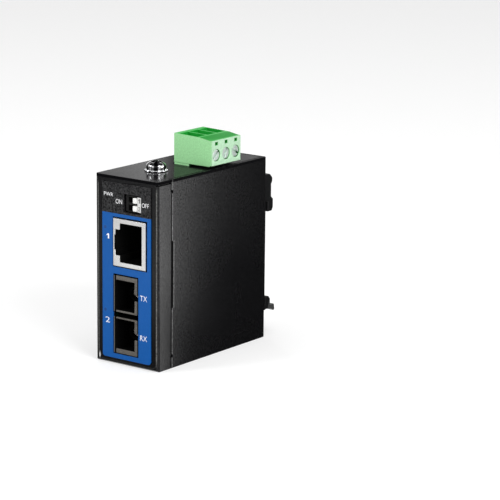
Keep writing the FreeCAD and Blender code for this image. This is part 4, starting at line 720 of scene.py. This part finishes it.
toward_front = nodes.new("ShaderNodeVectorMath")
toward_front.operation = "DOT_PRODUCT"
toward_front.inputs[1].default_value = (0.62, -0.785, 0)
link(outward.outputs[0], toward_front.inputs[0])
# Painted reflection bands: chrome where the head would reflect light, near black where it would reflect
# dark.
reflection_bands = nodes.new("ShaderNodeValToRGB")
stops = ((0.0, 1), (0.24, 1), (0.30, 0.02), (0.60, 0.02), (0.68, 1), (0.955, 1), (0.985, 0.02),
         (1.0, 0.02))
for place_at, value in stops[1:-1]:
    reflection_bands.color_ramp.elements.new(place_at)
for element, (place_at, value) in zip(reflection_bands.color_ramp.elements, stops):
    element.position = place_at
    element.color = (value, value, value, 1)
link(toward_front.outputs["Value"], reflection_bands.inputs["Fac"])
lit_chrome = nodes.new("ShaderNodeMath")
lit_chrome.operation = "MULTIPLY"
link(dark_middle.outputs["Result"], lit_chrome.inputs[0])
link(reflection_bands.outputs["Color"], lit_chrome.inputs[1])
shade = next(node for node in nodes if node.type == "MIX" and node.blend_type == "MULTIPLY")
# Painted reflection and shade: near black is mixed into the chrome by the two masks.
painted_reflection = nodes.new("ShaderNodeMix")
painted_reflection.data_type = "RGBA"
painted_reflection.inputs["A"].default_value = SHADE_AND_REFLECTION_BLACK
painted_reflection.inputs["B"].default_value = CHROME
link(lit_chrome.outputs[0], painted_reflection.inputs["Factor"])
link(painted_reflection.outputs["Result"], shade.inputs["A"])
finish(edged("earth_pan_head", "earth_screw", 0.15 * MM, 3), head_chrome, "earth_screw")
finish(edged("star_washer", "toothed_washer", 0.08 * MM), chrome, "earth_washer")

# ------------------------------------------------------------------ rail clip
# A black moulded base screwed to the rear, with a hook over the rail's upper lip, and a
# sprung latch whose foot lever is pulled down to let the rail go.
clip_resin = grained("clip moulding", (0.007, 0.007, 0.0075, 1), 0.4 * MM, 0.015 * MM, 0.2, 0.45,
                     IOR=1.35)
spring_wire = grained("spring wire", (0.45, 0.45, 0.46, 1), 0.3 * MM, 0.003 * MM, 0.1, 0.3, Metallic=1.0)
finish(edged("clip_base", "rail_clip", 0.30 * MM, 3), clip_resin, "case")
finish(edged("clip_latch", "rail_latch", 0.30 * MM, 3), clip_resin, "latch")
low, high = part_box("latch_spring")
coil = edged("latch_coil", "latch_spring", 0.03 * MM)
finish(coil, spring_wire, "case")
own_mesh(coil)

# ------------------------------------------------------------------ studio
# A pale floor under soft lamps. The surround is white to the camera and in reflections and
# dimmer as light, and glowing cards that only reflections see stand for the studio's panels.
floor_mesh = bmesh.new()
bmesh.ops.create_grid(floor_mesh, x_segments=2, y_segments=2, size=4.0)
floor = bpy.data.objects.new("studio_floor", bpy.data.meshes.new("studio_floor"))
floor_mesh.to_mesh(floor.data)
floor_mesh.free()
bpy.context.scene.collection.objects.link(floor)
floor_paint, floor_shader = new_material("studio floor", Roughness=0.7)
floor_shader.inputs["Base Color"].default_value = (0.55, 0.55, 0.55, 1)
nodes, link = floor_paint.node_tree.nodes, floor_paint.node_tree.links.new
rays = nodes.new("ShaderNodeLightPath")
glow = nodes.new("ShaderNodeMath")
glow.operation = "MULTIPLY"
glow.inputs[1].default_value = 0.45
link(rays.outputs["Is Camera Ray"], glow.inputs[0])
floor_shader.inputs["Emission Color"].default_value = (1, 1, 1, 1)
link(glow.outputs[0], floor_shader.inputs["Emission Strength"])
floor.data.materials.append(floor_paint)
floor.visible_glossy = False

world = bpy.data.worlds.new("studio surround")
bpy.context.scene.world = world
world.use_nodes = True
nodes, link = world.node_tree.nodes, world.node_tree.links.new
backdrop = nodes["Background"]
backdrop.inputs["Color"].default_value = (1, 1, 1, 1)
AMBIENT = 0.45
rays = nodes.new("ShaderNodeLightPath")
seen = nodes.new("ShaderNodeMath")
seen.operation = "MAXIMUM"
link(rays.outputs["Is Camera Ray"], seen.inputs[0])
link(rays.outputs["Is Glossy Ray"], seen.inputs[1])
level = nodes.new("ShaderNodeMapRange")
level.inputs["To Min"].default_value = AMBIENT
level.inputs["To Max"].default_value = 1.0
link(seen.outputs[0], level.inputs["Value"])
link(level.outputs["Result"], backdrop.inputs["Strength"])


def lamp(name, place, aim, size, power):
    """A soft rectangular lamp that looks at a point."""
    light = bpy.data.lights.new(name, "AREA")
    light.shape = "RECTANGLE"
    light.size, light.size_y = size
    light.energy = power
    holder = bpy.data.objects.new(name, light)
    bpy.context.scene.collection.objects.link(holder)
    holder.location = place
    holder.rotation_euler = (Vector(aim) - Vector(place)).to_track_quat("-Z", "Y").to_euler()
    return holder


def card(name, face, toward, reach, half_wide, half_tall, rows):
    """A glowing card that only glossy rays see, with a table of levels from its low left."""
    toward = Vector(toward).normalized()
    across = toward.cross(Vector((0, 0, 1))).normalized()
    upward = across.cross(toward)
    columns = len(rows[0])
    corners = [Vector(face) + toward * reach
               + across * half_wide * (2 * column / (columns - 1) - 1)
               + upward * half_tall * (2 * row / (len(rows) - 1) - 1)
               for row in range(len(rows)) for column in range(columns)]
    panes = [(n, n + 1, n + columns + 1, n + columns)
             for n in range(columns * (len(rows) - 1)) if (n + 1) % columns]
    mesh = bpy.data.meshes.new(name)
    mesh.from_pydata(corners, [], panes)
    levels = mesh.attributes.new("level", "FLOAT", "POINT")
    levels.data.foreach_set("value", [value for row in rows for value in row])
    board = bpy.data.objects.new(name, mesh)
    bpy.context.scene.collection.objects.link(board)
    mesh.materials.append(card_glow)
    board.visible_camera = board.visible_diffuse = board.visible_shadow = False
    board.visible_transmission = board.visible_volume_scatter = False
    return board


card_glow = bpy.data.materials.new("card glow")
card_glow.use_nodes = True
nodes, link = card_glow.node_tree.nodes, card_glow.node_tree.links.new
nodes.remove(nodes["Principled BSDF"])
glow = nodes.new("ShaderNodeEmission")
level = nodes.new("ShaderNodeAttribute")
level.attribute_name = "level"
link(level.outputs["Fac"], glow.inputs["Strength"])
link(glow.outputs[0], nodes["Material Output"].inputs["Surface"])

card("side_card", (12.8 * MM, 0, 30 * MM), (0.581, 0.782, -0.225), 30 * MM, 50 * MM, 50 * MM,
     [(0.3, 0.2, 0.1, 0.1, 0.0, 0.0, 0.0, 0.0, 0.0, 0.0, 0.0, 2.0, 0.6, 0.1, 0.1, 0.1, 0.1),
      (0.3, 0.2, 0.1, 0.1, 0.0, 0.0, 0.0, 0.0, 0.0, 0.0, 0.0, 2.3, 0.7, 0.1, 0.1, 0.1, 0.1),
      (0.3, 0.2, 0.1, 0.05, 0.0, 0.0, 0.0, 0.0, 0.02, 0.25, 1.3, 2.9, 2.9, 3.0, 3.0, 3.0, 3.0),
      (0.3, 0.2, 0.1, 0.06, 0.02, 0.05, 0.09, 0.18, 0.28, 0.8, 1.6, 2.4, 3.0, 3.2, 3.5, 3.8, 3.8),
      (0.3, 0.2, 0.1, 0.06, 0.02, 0.05, 0.09, 0.18, 0.28, 0.8, 1.6, 2.4, 3.0, 3.2, 3.5, 3.8, 3.8)])
card("front_card", (0, -28.5 * MM, 30 * MM), (-0.581, -0.782, -0.225), 30 * MM, 20 * MM, 50 * MM,
     [(0.02, 0.02, 0.02, 0.02, 0.02, 0.02, 0.02, 0.02, 0.02),
      (0.02, 0.05, 0.10, 0.20, 0.30, 0.30, 0.20, 0.10, 0.02),
      (0.10, 0.30, 0.80, 0.95, 0.92, 0.80, 0.50, 0.20, 0.10),
      (0.10, 0.25, 0.50, 0.60, 0.60, 0.55, 0.40, 0.20, 0.10),
      (0.05, 0.05, 0.05, 0.05, 0.05, 0.05, 0.05, 0.05, 0.05)])
card("rear_card", (0, 0, 61 * MM), (-0.581, 0.782, 0.225), 60 * MM, 60 * MM, 40 * MM,
     [(0.70, 0.70, 0.70, 0.80, 0.95, 1.15, 0.25, 0.10, 0.60, 0.80, 0.05, 0.03, 0.03, 0.03),
      (0.70, 0.70, 0.70, 0.80, 0.95, 1.15, 0.25, 0.10, 0.60, 0.80, 0.05, 0.03, 0.03, 0.03)])
card("overhead_card", (0, -40 * MM, 61 * MM), (0.0, 0.05, 1.0), 150 * MM, 160 * MM, 160 * MM,
     [(0.02, 0.02), (0.02, 0.02)])
card("edge_card", (12.8 * MM, -28.5 * MM, 30 * MM), (0.82, 0.51, -0.22), 80 * MM, 6 * MM, 70 * MM,
     [(12.0, 12.0), (12.0, 12.0)])

AIM = (0.0, 0.0, 0.035)
lamp("key_right", (0.75, -0.25, 0.45), AIM, (0.5, 0.5), 6.5)
lamp("front_left", (-0.45, -0.70, 0.35), AIM, (0.25, 0.6), 4.0)
lamp("overhead", (0.0, 0.1, 0.9), AIM, (0.7, 0.7), 2.5)

camera = bpy.data.objects.new("camera", bpy.data.cameras.new("camera"))
bpy.context.scene.collection.objects.link(camera)
camera.data.sensor_width = 36.0
camera.data.lens = 166.4
camera.data.clip_start = 0.01
RIGHT = Vector((0.80121, 0.59830, 0.01023))
UP = Vector((-0.14245, 0.17411, 0.97437))
camera.matrix_world = Matrix.Translation((0.45509, -0.57554, 0.20233)) @ Matrix(
    (RIGHT, UP, RIGHT.cross(UP))).transposed().to_4x4()
bpy.context.scene.camera = camera

bpy.context.scene.view_settings.view_transform = "Standard"
